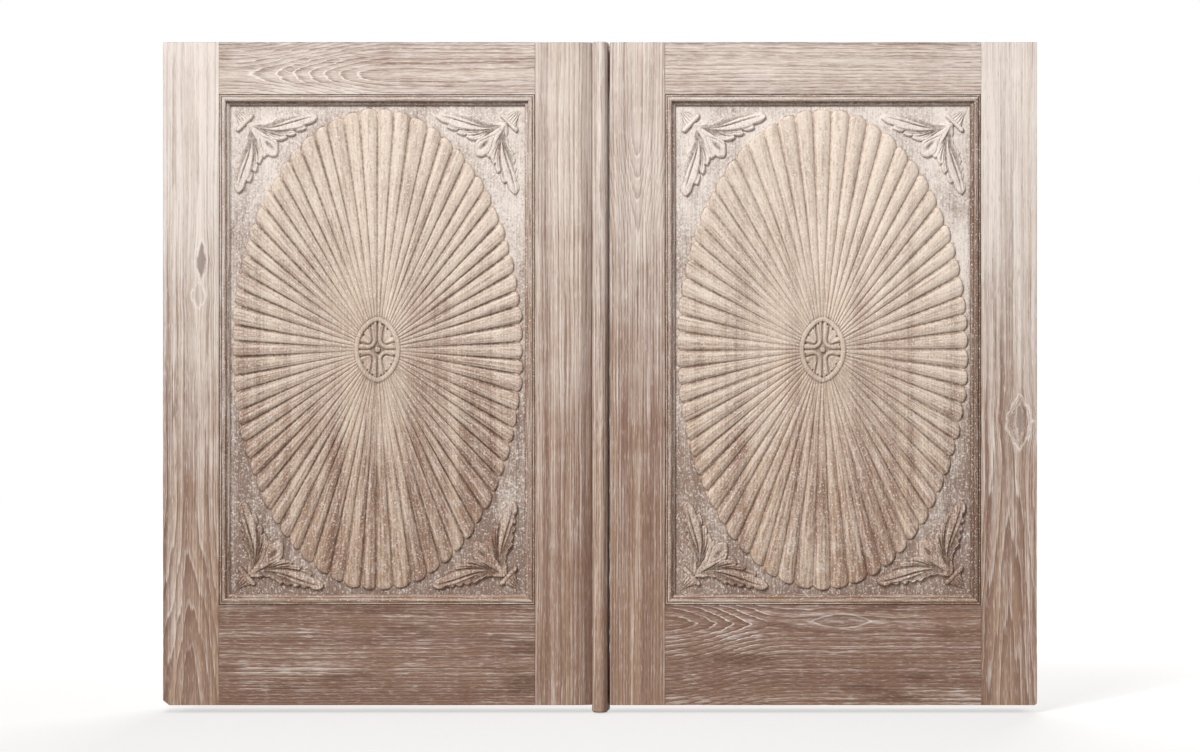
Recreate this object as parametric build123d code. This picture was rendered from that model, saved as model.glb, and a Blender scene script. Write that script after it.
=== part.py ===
from build123d import *
import math
import os

# A low pair of carved, framed and panelled hardwood door leaves, hung in a plain frame behind them.
# Millimetres. +Z is up, +X is to the viewer's right, and the carved faces look along -Y.
# The origin is the middle of the underside of the frame's sill.
# "Depth" in the names below is measured back from the leaves' front face.

# Leaf framing, as faces seen from the front
HINGE_STILE_WIDTH = 92.0
LEFT_MEETING_STILE_WIDTH = 94.0
RIGHT_MEETING_STILE_WIDTH = 91.0
TOP_RAIL_HEIGHT = 86.0
BOTTOM_RAIL_HEIGHT = 165.0
OPENING_WIDTH = 520.0
OPENING_HEIGHT = 840.0
LEAF_THICKNESS = 38.0

# Joints of the leaf framing: the panel's groove and the rails' tenons share one band of the thickness
GROOVE_DEPTH_FROM_FRONT = 13.5
GROOVE_WIDTH = 12.5
GROOVE_REACH = 10.0
PANEL_SIDE_CLEARANCE = 0.25
PANEL_EDGE_CLEARANCE = 1.0
TENON_LENGTH = 50.0
TENON_SHOULDER = 18.0
TENON_CLEARANCE = 0.1

# Worn lower outer corners of the two leaves
LEFT_CORNER_CUT_WIDTH = 10.0
LEFT_CORNER_CUT_HEIGHT = 8.0
RIGHT_CORNER_RADIUS = 5.0

# Meeting bead and the bevelled band beside it on the left leaf
BEAD_WIDTH = 26.0
BEAD_FOOT_DROP = 12.0
BEAD_FOOT_RADIUS = 4.0
BEVEL_WIDTH = 17.5
BEVEL_DEPTH = 5.0
MEETING_GAP = 3.0
MEETING_EDGE_SLOPE = 4.0

# Moulding round each panel, from the framing's edge towards the panel
MOULDING_WIDTH = 17.0
MOULDING_QUIRK_WIDTH = 1.2
MOULDING_QUIRK_DEPTH = 2.4
MOULDING_FILLET_WIDTH = 2.4
MOULDING_FILLET_DEPTH = 0.4
MOULDING_ROUND_WIDTH = 7.6
MOULDING_ROUND_FOOT_DEPTH = 3.8
MOULDING_INNER_DEPTH = 5.4
MOULDING_INNER_EDGE_DEPTH = 6.6

# Carved sunburst: tapered convex reeds round an oval medallion
RELIEF_SINK = 0.6
LEFT_REED_COUNT = 70
RIGHT_REED_COUNT = 66
SUN_SIDE_MARGIN = 3.0
SUN_END_MARGIN = 6.0
REED_HEIGHT = 5.5
REED_SHOULDER_SHARE = 0.7
REED_SHOULDER_DROP = 1.3
REED_WIDTH_SHARE = 0.92
REED_TIP_LENGTH = 0.75
REED_TIP_SHARE = 0.6
MEDALLION_SIDES = 30
MEDALLION_HALF_WIDTH = 38.0
MEDALLION_HALF_HEIGHT = 51.0
MEDALLION_HEIGHT = 6.5
MEDALLION_RIM_WIDTH = 6.0
MEDALLION_FIELD_DROP = 3.5
MEDALLION_BAR_WIDTH = 5.0
MEDALLION_BAR_HEIGHT = 2.0
MEDALLION_PETAL_SHARE = 0.24
MEDALLION_PETAL_PLACE = 0.42
MEDALLION_BUTTON_RADIUS = 4.5

# Corner sprays, as distances from the corner of the visible panel: along the near edge, then away from it
SPRAY_HEIGHT = 5.0
SPRAY_LOW_HEIGHT = 4.0
SPRAY_ROOT_INNER = (40.0, 44.0)
SPRAY_ROOT_OUTER = (38.0, 26.0)
SPRAY_BELLY = [(58.0, 54.0), (78.0, 57.0)]
SPRAY_TEETH = [
    (97.0, 52.0),
    (95.0, 48.5),
    (111.0, 46.0),
    (108.0, 40.0),
    (128.0, 35.0),
    (125.0, 29.0),
    (147.0, 18.0),
]
SPRAY_CREST = (133.0, 11.0)
SPRAY_BACK = (84.0, 18.0)
SPRAY_LOBE = [(46.0, 46.0), (76.0, 60.0), (82.0, 82.0), (60.0, 76.0)]
COLLAR_CENTRE = 27.0
COLLAR_LENGTH = 29.0
COLLAR_WIDTH = 9.0
COLLAR_HEIGHT = 6.5
STEM_LENGTH = 18.0
STEM_SPREAD = 20.0
STEM_WIDTH = 6.0

# Frame behind the leaves
FRAME_LAP = 10.0
FRAME_FACE_WIDTH = 60.0
FRAME_DEPTH = 60.0
FRAME_TENON_THICKNESS = 20.0
FRAME_TENON_LENGTH = 35.0
FRAME_TENON_SHOULDER = 10.0
FIXING_HOLE_RADIUS = 3.5
FIXING_FROM_END = 330.0

# Butt hinges
HINGE_GAP = 2.0
HINGE_HEIGHT = 100.0
HINGE_FLAP_WIDTH = 30.0
HINGE_FLAP_THICKNESS = 2.5
HINGE_FROM_LEAF_END = 170.0
KNUCKLE_RADIUS = 4.5
KNUCKLE_COUNT = 3
KNUCKLE_END_GAP = 0.3
KNUCKLE_SIDE_CLEARANCE = 0.5
KNUCKLE_WOOD_CLEARANCE = 0.6
PIN_RADIUS = 2.5
PIN_RUNNING_CLEARANCE = 0.05
PIN_HEAD_RADIUS = 3.6
PIN_HEAD_HEIGHT = 2.5
PIN_HEAD_ROOM = 1.5

# How far a cut runs on past the face that it opens
CUT_PAST = 1.0

# Places worked out from the sizes above
LEAF_HEIGHT = BOTTOM_RAIL_HEIGHT + OPENING_HEIGHT + TOP_RAIL_HEIGHT
LEFT_LEAF_WIDTH = HINGE_STILE_WIDTH + OPENING_WIDTH + LEFT_MEETING_STILE_WIDTH
RIGHT_LEAF_WIDTH = HINGE_STILE_WIDTH + OPENING_WIDTH + RIGHT_MEETING_STILE_WIDTH
DOOR_WIDTH = LEFT_LEAF_WIDTH + BEAD_WIDTH + MEETING_GAP + RIGHT_LEAF_WIDTH
OUTER_EDGE = DOOR_WIDTH / 2

FRAME_FRONT = -FRAME_DEPTH / 2
FRAME_BACK = FRAME_DEPTH / 2
FRAME_HEIGHT = LEAF_HEIGHT - 2 * FRAME_LAP
LEAF_BACK = FRAME_FRONT - HINGE_GAP
LEAF_FRONT = LEAF_BACK - LEAF_THICKNESS
LEAF_BOTTOM = -FRAME_LAP
LEAF_TOP = LEAF_BOTTOM + LEAF_HEIGHT
OPENING_BOTTOM = LEAF_BOTTOM + BOTTOM_RAIL_HEIGHT
OPENING_TOP = OPENING_BOTTOM + OPENING_HEIGHT
OPENING_OUTER = -OUTER_EDGE + HINGE_STILE_WIDTH
OPENING_INNER = OPENING_OUTER + OPENING_WIDTH

GROOVE_FRONT = LEAF_FRONT + GROOVE_DEPTH_FROM_FRONT
GROOVE_BACK = GROOVE_FRONT + GROOVE_WIDTH
PANEL_GROUND = GROOVE_FRONT + PANEL_SIDE_CLEARANCE
PANEL_REAR = GROOVE_BACK - PANEL_SIDE_CLEARANCE
PANEL_CENTRE_X = (OPENING_OUTER + OPENING_INNER) / 2
PANEL_CENTRE_Z = (OPENING_BOTTOM + OPENING_TOP) / 2
PANEL_HALF_WIDTH = OPENING_WIDTH / 2 - MOULDING_WIDTH
PANEL_HALF_HEIGHT = OPENING_HEIGHT / 2 - MOULDING_WIDTH
SUN_HALF_WIDTH = PANEL_HALF_WIDTH - SUN_SIDE_MARGIN
SUN_HALF_HEIGHT = PANEL_HALF_HEIGHT - SUN_END_MARGIN

HINGE_AXIS_X = -OUTER_EDGE + KNUCKLE_RADIUS
HINGE_AXIS_Y = (LEAF_BACK + FRAME_FRONT) / 2
FLAP_START_X = HINGE_AXIS_X + KNUCKLE_RADIUS + KNUCKLE_SIDE_CLEARANCE
FLAP_END_X = HINGE_AXIS_X + HINGE_FLAP_WIDTH
HINGE_HEIGHTS = {
    "lower": LEAF_BOTTOM + HINGE_FROM_LEAF_END,
    "upper": LEAF_TOP - HINGE_FROM_LEAF_END,
}
JAMB_OUTER_X = -OUTER_EDGE + FRAME_LAP
JAMB_INNER_X = JAMB_OUTER_X + FRAME_FACE_WIDTH

# The carved face as a drawing board: x to the right, y up, z out of the panel towards the viewer
CARVED_FACE = Plane(
    origin=(PANEL_CENTRE_X, PANEL_GROUND, PANEL_CENTRE_Z), x_dir=(1, 0, 0), z_dir=(0, -1, 0)
)


def block(x_range, y_range, z_range):
    """A squared piece of timber or metal between two values along each axis."""
    size = [high - low for low, high in (x_range, y_range, z_range)]
    middle = [(high + low) / 2 for low, high in (x_range, y_range, z_range)]
    return Pos(*middle) * Box(*size)


def post(x, y, z_range, radius):
    """An upright cylinder."""
    low, high = z_range
    return Pos(x, y, (low + high) / 2) * Cylinder(radius, high - low)


def mirrored(shape):
    """The same piece on the other side of the door."""
    return mirror(shape, about=Plane.YZ)


def on_carved_face(shape):
    return CARVED_FACE.location * shape


# Leaf framing

def rail_z_range(name):
    if name == "top":
        return OPENING_TOP, LEAF_TOP
    return LEAF_BOTTOM, OPENING_BOTTOM


def tenon_z_range(name):
    low, high = rail_z_range(name)
    return low + TENON_SHOULDER, high - TENON_SHOULDER


def rail(name):
    """A rail with a groove for the panel and a blind tenon on each end."""
    low, high = rail_z_range(name)
    body = block((OPENING_OUTER, OPENING_INNER), (LEAF_FRONT, LEAF_BACK), (low, high))
    tenon = block(
        (OPENING_OUTER - TENON_LENGTH, OPENING_INNER + TENON_LENGTH),
        (GROOVE_FRONT + TENON_CLEARANCE, GROOVE_BACK - TENON_CLEARANCE),
        tenon_z_range(name),
    )
    if name == "top":
        groove_z = (low, low + GROOVE_REACH)
    else:
        groove_z = (high - GROOVE_REACH, high)
    groove = block((OPENING_OUTER, OPENING_INNER), (GROOVE_FRONT, GROOVE_BACK), groove_z)
    return body + tenon - groove


def stile_cuts(edge_x, inwards):
    """The panel groove and the two mortises in a stile's edge; inwards points into the wood."""
    groove_end = edge_x + inwards * GROOVE_REACH
    mortise_end = edge_x + inwards * (TENON_LENGTH + PANEL_EDGE_CLEARANCE)
    core = (GROOVE_FRONT, GROOVE_BACK)
    cuts = [
        block(
            sorted((edge_x, groove_end)),
            core,
            (OPENING_BOTTOM - GROOVE_REACH, OPENING_TOP + GROOVE_REACH),
        )
    ]
    for name in ("top", "bottom"):
        low, high = tenon_z_range(name)
        cuts.append(
            block(
                sorted((edge_x, mortise_end)),
                core,
                (low - TENON_CLEARANCE, high + TENON_CLEARANCE),
            )
        )
    return cuts


def hinge_housings():
    """What is cut from the leaf's back outer corner for each hinge: knuckle notch and flap seat."""
    cuts = []
    for middle in HINGE_HEIGHTS.values():
        half = HINGE_HEIGHT / 2
        room = half + PIN_HEAD_HEIGHT + PIN_HEAD_ROOM
        notch_front = HINGE_AXIS_Y - KNUCKLE_RADIUS - KNUCKLE_WOOD_CLEARANCE
        cuts.append(
            block(
                (-OUTER_EDGE - CUT_PAST, FLAP_START_X),
                (notch_front, LEAF_BACK + CUT_PAST),
                (middle - room, middle + room),
            )
        )
        cuts.append(
            block(
                (FLAP_START_X, FLAP_END_X),
                (LEAF_BACK - HINGE_FLAP_THICKNESS, LEAF_BACK + CUT_PAST),
                (middle - half, middle + half),
            )
        )
    return cuts


def hinge_stile():
    wood = block(
        (-OUTER_EDGE, OPENING_OUTER), (LEAF_FRONT, LEAF_BACK), (LEAF_BOTTOM, LEAF_TOP)
    )
    for cut in stile_cuts(OPENING_OUTER, -1) + hinge_housings():
        wood -= cut
    return wood


def lower_outer_corner_cut():
    """The worn-away triangle at the left leaf's lower outer corner."""
    outline = Polyline(
        (-OUTER_EDGE, LEAF_BOTTOM),
        (-OUTER_EDGE + LEFT_CORNER_CUT_WIDTH, LEAF_BOTTOM),
        (-OUTER_EDGE, LEAF_BOTTOM + LEFT_CORNER_CUT_HEIGHT),
        close=True,
    )
    face = Plane.XZ * make_face(outline)
    return extrude(face, amount=-2 * LEAF_FRONT, both=True)


def rounded_lower_corner(wood):
    """The worn, rounded lower outer corner of the right leaf, before it is mirrored."""
    edge = (
        wood.edges()
        .filter_by(Axis.Y)
        .sort_by_distance((-OUTER_EDGE, (LEAF_FRONT + LEAF_BACK) / 2, LEAF_BOTTOM))[0]
    )
    return fillet(edge, RIGHT_CORNER_RADIUS)


def meeting_stile(width):
    wood = block(
        (OPENING_INNER, OPENING_INNER + width), (LEAF_FRONT, LEAF_BACK), (LEAF_BOTTOM, LEAF_TOP)
    )
    for cut in stile_cuts(OPENING_INNER, 1):
        wood -= cut
    return wood


def meeting_edge_cut(width):
    """What the slope takes off a meeting edge, so that nobody sees straight through the gap beside the bead."""
    edge = OPENING_INNER + width
    outline = Polyline(
        (edge, LEAF_FRONT),
        (edge, LEAF_BACK),
        (edge - MEETING_EDGE_SLOPE, LEAF_BACK),
        close=True,
    )
    return Pos(0, 0, LEAF_BOTTOM) * extrude(make_face(outline), amount=LEAF_HEIGHT)


def bevel_cut():
    """The band along the left leaf's meeting edge that slopes down to the bead."""
    edge = OPENING_INNER + LEFT_MEETING_STILE_WIDTH
    outline = Polyline(
        (edge - BEVEL_WIDTH, LEAF_FRONT),
        (edge, LEAF_FRONT),
        (edge, LEAF_FRONT + BEVEL_DEPTH),
        close=True,
    )
    return Pos(0, 0, LEAF_BOTTOM) * extrude(make_face(outline), amount=LEAF_HEIGHT)


def meeting_bead():
    """A half-round strip as deep as the leaf, fixed to the left leaf's meeting edge.

    Its free side slopes as the right leaf's meeting edge does.
    """
    left = -OUTER_EDGE + LEFT_LEAF_WIDTH
    right = left + BEAD_WIDTH
    spring = LEAF_FRONT + BEVEL_DEPTH
    crown = ((left + right) / 2, spring - BEAD_WIDTH / 2)
    back_right = right + MEETING_EDGE_SLOPE * (LEAF_BACK - spring) / LEAF_THICKNESS
    outline = [
        ThreePointArc((left, spring), crown, (right, spring)),
        Polyline((right, spring), (back_right, LEAF_BACK), (left, LEAF_BACK), (left, spring)),
    ]
    strip = Pos(0, 0, LEAF_BOTTOM - BEAD_FOOT_DROP) * extrude(
        make_face(outline), amount=LEAF_HEIGHT + BEAD_FOOT_DROP
    )
    foot_edges = strip.faces().sort_by(Axis.Z)[0].edges().sort_by(Axis.X)
    return fillet([foot_edges[0], foot_edges[-1]], BEAD_FOOT_RADIUS)


# Mouldings

def moulding_profile():
    """Section across the strip: x from the framing's edge towards the panel, y out towards the viewer."""
    quirk = MOULDING_QUIRK_WIDTH
    round_start = quirk + MOULDING_FILLET_WIDTH
    round_end = round_start + MOULDING_ROUND_WIDTH
    foot = -MOULDING_ROUND_FOOT_DEPTH
    back = -GROOVE_DEPTH_FROM_FRONT
    crown = ((round_start + round_end) / 2, 0)
    outline = [
        Polyline(
            (0, back),
            (0, -MOULDING_QUIRK_DEPTH),
            (quirk, -MOULDING_QUIRK_DEPTH),
            (quirk, -MOULDING_FILLET_DEPTH),
            (round_start, -MOULDING_FILLET_DEPTH),
            (round_start, foot),
        ),
        ThreePointArc((round_start, foot), crown, (round_end, foot)),
        Polyline(
            (round_end, foot),
            (round_end, -MOULDING_INNER_DEPTH),
            (MOULDING_WIDTH, -MOULDING_INNER_EDGE_DEPTH),
            (MOULDING_WIDTH, back),
            (0, back),
        ),
    ]
    return make_face(outline)


def moulding(length):
    """A mitred strip lying along local x, its outer edge on y = 0 and its face towards local z."""
    section = Plane(origin=(0, 0, 0), x_dir=(0, 1, 0), z_dir=(1, 0, 0)) * moulding_profile()
    strip = extrude(section, amount=length)
    mitre = Polyline(
        (0, 0),
        (length, 0),
        (length - MOULDING_WIDTH, MOULDING_WIDTH),
        (MOULDING_WIDTH, MOULDING_WIDTH),
        close=True,
    )
    return strip & extrude(make_face(mitre), amount=LEAF_THICKNESS, both=True)


def mouldings():
    """The four strips round one panel, by the side that they lie on."""
    corners = {
        "bottom": ((OPENING_OUTER, OPENING_BOTTOM), 0, OPENING_WIDTH),
        "meeting_side": ((OPENING_INNER, OPENING_BOTTOM), 90, OPENING_HEIGHT),
        "top": ((OPENING_INNER, OPENING_TOP), 180, OPENING_WIDTH),
        "hinge_side": ((OPENING_OUTER, OPENING_TOP), 270, OPENING_HEIGHT),
    }
    strips = {}
    for side, ((x, z), turn, length) in corners.items():
        seat = Plane(origin=(x, LEAF_FRONT, z), x_dir=(1, 0, 0), z_dir=(0, -1, 0))
        strips[side] = seat.location * Rot(0, 0, turn) * moulding(length)
    return strips


# Carved panel

def oval_bearings(count):
    """Bearings from the centre that cut the sun's oval into equal lengths of outline."""
    steps = 7200
    points = []
    for i in range(steps + 1):
        turn = 2 * math.pi * i / steps
        points.append((SUN_HALF_WIDTH * math.cos(turn), SUN_HALF_HEIGHT * math.sin(turn)))
    run = [0.0]
    for start, end in zip(points, points[1:]):
        run.append(run[-1] + math.dist(start, end))
    bearings = []
    i = 0
    for k in range(count):
        while run[i] < run[-1] * k / count:
            i += 1
        bearings.append(math.atan2(points[i][1], points[i][0]) % (2 * math.pi))
    return bearings + [2 * math.pi]


def oval_reach(bearing, half_width, half_height):
    """Distance from the centre to an oval along a bearing."""
    return 1 / math.hypot(math.cos(bearing) / half_width, math.sin(bearing) / half_height)


def reed_ring(distance, half_width, crown):
    """Section across a reed at a distance from the centre: a crowned top between two steep shoulders."""
    shoulder = (REED_SHOULDER_SHARE * half_width, crown - REED_SHOULDER_DROP * crown / REED_HEIGHT)
    half = [(half_width, -RELIEF_SINK), shoulder]
    outline = half + [(0, crown)] + [(-across, out) for across, out in reversed(half)]
    return [Vector(distance, across, out) for across, out in outline]


def reed(bearing, spread):
    """A tapered convex reed from under the medallion's rim, level on top, with a blunt tip on the oval."""
    half_rim = MEDALLION_RIM_WIDTH / 2
    start = oval_reach(bearing, MEDALLION_HALF_WIDTH - half_rim, MEDALLION_HALF_HEIGHT - half_rim)
    end = oval_reach(bearing, SUN_HALF_WIDTH, SUN_HALF_HEIGHT) / (1 + REED_TIP_LENGTH * spread)
    half_width = end * spread
    tip = end + REED_TIP_LENGTH * half_width
    rings = [
        reed_ring(start, start * spread, REED_HEIGHT),
        reed_ring(end, half_width, REED_HEIGHT),
        reed_ring(tip, REED_TIP_SHARE * half_width, REED_TIP_SHARE * REED_HEIGHT),
    ]
    outlines = [rings[0], rings[-1]]
    for near, far in zip(rings, rings[1:]):
        for i in range(len(near)):
            j = (i + 1) % len(near)
            outlines += [[near[i], near[j], far[j]], [near[i], far[j], far[i]]]
    faces = [Face(Wire.make_polygon(outline, close=True)) for outline in outlines]
    return Rot(0, 0, math.degrees(bearing)) * Solid(Shell(faces))


def reeds(count):
    """The whole ring of reeds, each as wide at its tip as the next."""
    bearings = oval_bearings(count)
    pieces = []
    for low, high in zip(bearings, bearings[1:]):
        spread = math.tan((high - low) / 2) * REED_WIDTH_SHARE
        pieces.append(reed((low + high) / 2, spread))
    return pieces


def raised(sketch, height, start=-RELIEF_SINK):
    """A flat-topped relief over an outline drawn on the carved face."""
    return Pos(0, 0, start) * extrude(sketch, amount=height - start)


def oval(half_width, half_height, sides):
    """An oval cut as short flats."""
    turns = [2 * math.pi * i / sides for i in range(sides)]
    return make_face(
        Polyline(*[(half_width * math.cos(turn), half_height * math.sin(turn)) for turn in turns], close=True)
    )


def medallion():
    """Oval boss with a raised rim, four petals, a cross of bars and a button in the middle."""
    rim = MEDALLION_RIM_WIDTH
    field = MEDALLION_HEIGHT - MEDALLION_FIELD_DROP
    inner_width = MEDALLION_HALF_WIDTH - rim
    inner_height = MEDALLION_HALF_HEIGHT - rim
    sides = MEDALLION_SIDES
    boss = raised(oval(MEDALLION_HALF_WIDTH, MEDALLION_HALF_HEIGHT, sides), MEDALLION_HEIGHT)
    boss -= raised(oval(inner_width, inner_height, sides), 2 * MEDALLION_HEIGHT, start=field)
    bars = Rectangle(MEDALLION_BAR_WIDTH, 2 * inner_height) + Rectangle(2 * inner_width, MEDALLION_BAR_WIDTH)
    bars = bars & oval(inner_width + rim / 2, inner_height + rim / 2, sides)
    boss += raised(bars, field + MEDALLION_BAR_HEIGHT, start=field - RELIEF_SINK)
    share = MEDALLION_PETAL_SHARE
    petal = oval(inner_width * share, inner_height * share, sides // 3)
    for side in (-1, 1):
        for end in (-1, 1):
            place = Pos(
                side * inner_width * MEDALLION_PETAL_PLACE, end * inner_height * MEDALLION_PETAL_PLACE
            )
            boss += raised(place * petal, field + MEDALLION_BAR_HEIGHT, start=field - RELIEF_SINK)
    button = oval(MEDALLION_BUTTON_RADIUS, MEDALLION_BUTTON_RADIUS, sides // 3)
    boss += raised(button, MEDALLION_HEIGHT, start=field - RELIEF_SINK)
    return boss


def spray_leaf():
    """Toothed leaf along the horizontal edge of the upper left corner; y runs down from the edge."""
    inner_side = [SPRAY_ROOT_INNER] + SPRAY_BELLY + SPRAY_TEETH
    outer_side = [SPRAY_CREST, SPRAY_BACK, SPRAY_ROOT_OUTER]
    return make_face(Polyline(*inner_side, *outer_side, close=True))


def spray():
    """One corner's carving, drawn from the panel's visible corner with y running down."""
    leaf = raised(spray_leaf(), SPRAY_HEIGHT)
    across_diagonal = Plane(origin=(0, 0, 0), z_dir=(1, -1, 0))
    other_leaf = mirror(leaf, about=across_diagonal)
    lobe = raised(make_face(Polyline(*SPRAY_LOBE, close=True)), SPRAY_LOW_HEIGHT)
    centre = (COLLAR_CENTRE, COLLAR_CENTRE)
    collar = Pos(*centre) * Rot(0, 0, -45) * raised(Rectangle(COLLAR_LENGTH, COLLAR_WIDTH), COLLAR_HEIGHT)
    stems = []
    for turn in (-STEM_SPREAD, 0, STEM_SPREAD):
        stem = Pos(0, -STEM_LENGTH / 2) * Rectangle(STEM_WIDTH, STEM_LENGTH)
        stems.append(Pos(*centre) * Rot(0, 0, -45 + turn) * raised(stem, SPRAY_LOW_HEIGHT))
    return [leaf, other_leaf, lobe, collar] + stems


def sprays():
    """The four corner carvings, turned in from the corners of the visible panel."""
    pieces = []
    corner_piece = [mirror(piece, about=Plane.XZ) for piece in spray()]
    upper_left = [Pos(-PANEL_HALF_WIDTH, PANEL_HALF_HEIGHT) * piece for piece in corner_piece]
    for piece in upper_left:
        upper_right = mirror(piece, about=Plane.YZ)
        pieces += [piece, upper_right]
        pieces += [mirror(piece, about=Plane.XZ), mirror(upper_right, about=Plane.XZ)]
    return pieces


def carved_panel(reed_count):
    """One board: its edges sit in the grooves, its face carries the carving."""
    reach = GROOVE_REACH - PANEL_EDGE_CLEARANCE
    board = block(
        (OPENING_OUTER - reach, OPENING_INNER + reach),
        (PANEL_GROUND, PANEL_REAR),
        (OPENING_BOTTOM - reach, OPENING_TOP + reach),
    )
    relief = reeds(reed_count) + [medallion()] + sprays()
    return board.fuse(*[on_carved_face(piece) for piece in relief])


# Frame

def frame_tenon_z_range(name):
    low, high = frame_member_z_range(name)
    return low + FRAME_TENON_SHOULDER, high - FRAME_TENON_SHOULDER


def frame_member_z_range(name):
    if name == "head":
        return FRAME_HEIGHT - FRAME_FACE_WIDTH, FRAME_HEIGHT
    return 0.0, FRAME_FACE_WIDTH


def cross_member(name):
    """Head or sill, tenoned into the jambs."""
    low, high = frame_member_z_range(name)
    body = block((JAMB_INNER_X, -JAMB_INNER_X), (FRAME_FRONT, FRAME_BACK), (low, high))
    reach = -JAMB_INNER_X + FRAME_TENON_LENGTH
    half = FRAME_TENON_THICKNESS / 2
    return body + block((-reach, reach), (-half, half), frame_tenon_z_range(name))


def jamb():
    """Left jamb: mortises for head and sill, seats for the hinge flaps and holes for the wall fixings."""
    wood = block((JAMB_OUTER_X, JAMB_INNER_X), (FRAME_FRONT, FRAME_BACK), (0, FRAME_HEIGHT))
    half = FRAME_TENON_THICKNESS / 2 + TENON_CLEARANCE
    mortise_end = JAMB_INNER_X - FRAME_TENON_LENGTH - PANEL_EDGE_CLEARANCE
    for name in ("head", "sill"):
        low, high = frame_tenon_z_range(name)
        wood -= block(
            (mortise_end, JAMB_INNER_X), (-half, half), (low - TENON_CLEARANCE, high + TENON_CLEARANCE)
        )
    for middle in HINGE_HEIGHTS.values():
        wood -= block(
            (JAMB_OUTER_X - CUT_PAST, FLAP_END_X),
            (FRAME_FRONT - CUT_PAST, FRAME_FRONT + HINGE_FLAP_THICKNESS),
            (middle - HINGE_HEIGHT / 2, middle + HINGE_HEIGHT / 2),
        )
    for z in (FIXING_FROM_END, FRAME_HEIGHT - FIXING_FROM_END):
        centre_x = (JAMB_OUTER_X + JAMB_INNER_X) / 2
        wood -= Pos(centre_x, 0, z) * Rot(90, 0, 0) * Cylinder(FIXING_HOLE_RADIUS, 2 * FRAME_DEPTH)
    return wood


# Hinges

def knuckle_z_ranges(middle, owner):
    """The lengths of barrel that belong to the frame's flap (the ends) or to the leaf's, between them."""
    share = (HINGE_HEIGHT - (KNUCKLE_COUNT - 1) * KNUCKLE_END_GAP) / KNUCKLE_COUNT
    first = 0 if owner == "frame" else 1
    ranges = []
    for i in range(first, KNUCKLE_COUNT, 2):
        low = middle - HINGE_HEIGHT / 2 + i * (share + KNUCKLE_END_GAP)
        ranges.append((low, low + share))
    return ranges


def flap_y_range(owner):
    if owner == "frame":
        return FRAME_FRONT, FRAME_FRONT + HINGE_FLAP_THICKNESS
    return LEAF_BACK - HINGE_FLAP_THICKNESS, LEAF_BACK


def hinge_flap(owner, middle):
    """A plate let into the wood, with its lengths of knuckle about the pin."""
    y_range = flap_y_range(owner)
    flap = block(
        (FLAP_START_X, FLAP_END_X), y_range, (middle - HINGE_HEIGHT / 2, middle + HINGE_HEIGHT / 2)
    )
    for z_range in knuckle_z_ranges(middle, owner):
        flap += block((HINGE_AXIS_X, FLAP_START_X), y_range, z_range)
        flap += post(HINGE_AXIS_X, HINGE_AXIS_Y, z_range, KNUCKLE_RADIUS)
    bore = PIN_RADIUS + PIN_RUNNING_CLEARANCE
    through = (middle - HINGE_HEIGHT, middle + HINGE_HEIGHT)
    return flap - post(HINGE_AXIS_X, HINGE_AXIS_Y, through, bore)


def hinge_pin(middle):
    """Pin with a button head at each end, seated on the end knuckles."""
    half = HINGE_HEIGHT / 2
    pin = post(HINGE_AXIS_X, HINGE_AXIS_Y, (middle - half, middle + half), PIN_RADIUS)
    for end in (-1, 1):
        seat = middle + end * half
        head = post(
            HINGE_AXIS_X, HINGE_AXIS_Y, sorted((seat, seat + end * PIN_HEAD_HEIGHT)), PIN_HEAD_RADIUS
        )
        pin += head
    return pin


# The whole door

def build():
    parts = {}

    parts["frame_left_jamb"] = jamb()
    parts["frame_right_jamb"] = mirrored(jamb())
    parts["frame_head"] = cross_member("head")
    parts["frame_sill"] = cross_member("sill")

    left_stile = hinge_stile() - lower_outer_corner_cut()
    parts["left_hinge_stile"] = left_stile
    parts["right_hinge_stile"] = mirrored(rounded_lower_corner(hinge_stile()))
    parts["left_meeting_stile"] = meeting_stile(LEFT_MEETING_STILE_WIDTH) - bevel_cut()
    right_stile = meeting_stile(RIGHT_MEETING_STILE_WIDTH)
    parts["right_meeting_stile"] = mirrored(right_stile - meeting_edge_cut(RIGHT_MEETING_STILE_WIDTH))
    parts["meeting_bead"] = meeting_bead()

    for name in ("top", "bottom"):
        parts[f"left_{name}_rail"] = rail(name)
        parts[f"right_{name}_rail"] = mirrored(rail(name))

    for side, strip in mouldings().items():
        parts[f"left_moulding_{side}"] = strip
        parts[f"right_moulding_{side}"] = mirrored(strip)

    parts["left_carved_panel"] = carved_panel(LEFT_REED_COUNT)
    parts["right_carved_panel"] = mirrored(carved_panel(RIGHT_REED_COUNT))

    for level, middle in HINGE_HEIGHTS.items():
        for owner in ("frame", "leaf"):
            flap = hinge_flap(owner, middle)
            parts[f"left_{level}_hinge_{owner}_flap"] = flap
            parts[f"right_{level}_hinge_{owner}_flap"] = mirrored(flap)
        pin = hinge_pin(middle)
        parts[f"left_{level}_hinge_pin"] = pin
        parts[f"right_{level}_hinge_pin"] = mirrored(pin)
    return parts


os.makedirs("parts", exist_ok=True)
for node, shape in build().items():
    export_step(shape, f"parts/{node}.step")
    print(node)
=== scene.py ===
"""Visual model of a pair of limed hardwood door leaves, carved with sunbursts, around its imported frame."""

import logging
import math
from dataclasses import dataclass, replace
from enum import Enum
from typing import Any, Callable, Optional, Sequence, Union

import bmesh
import bpy
import numpy as np
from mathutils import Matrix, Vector
from mathutils.geometry import delaunay_2d_cdt

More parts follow.
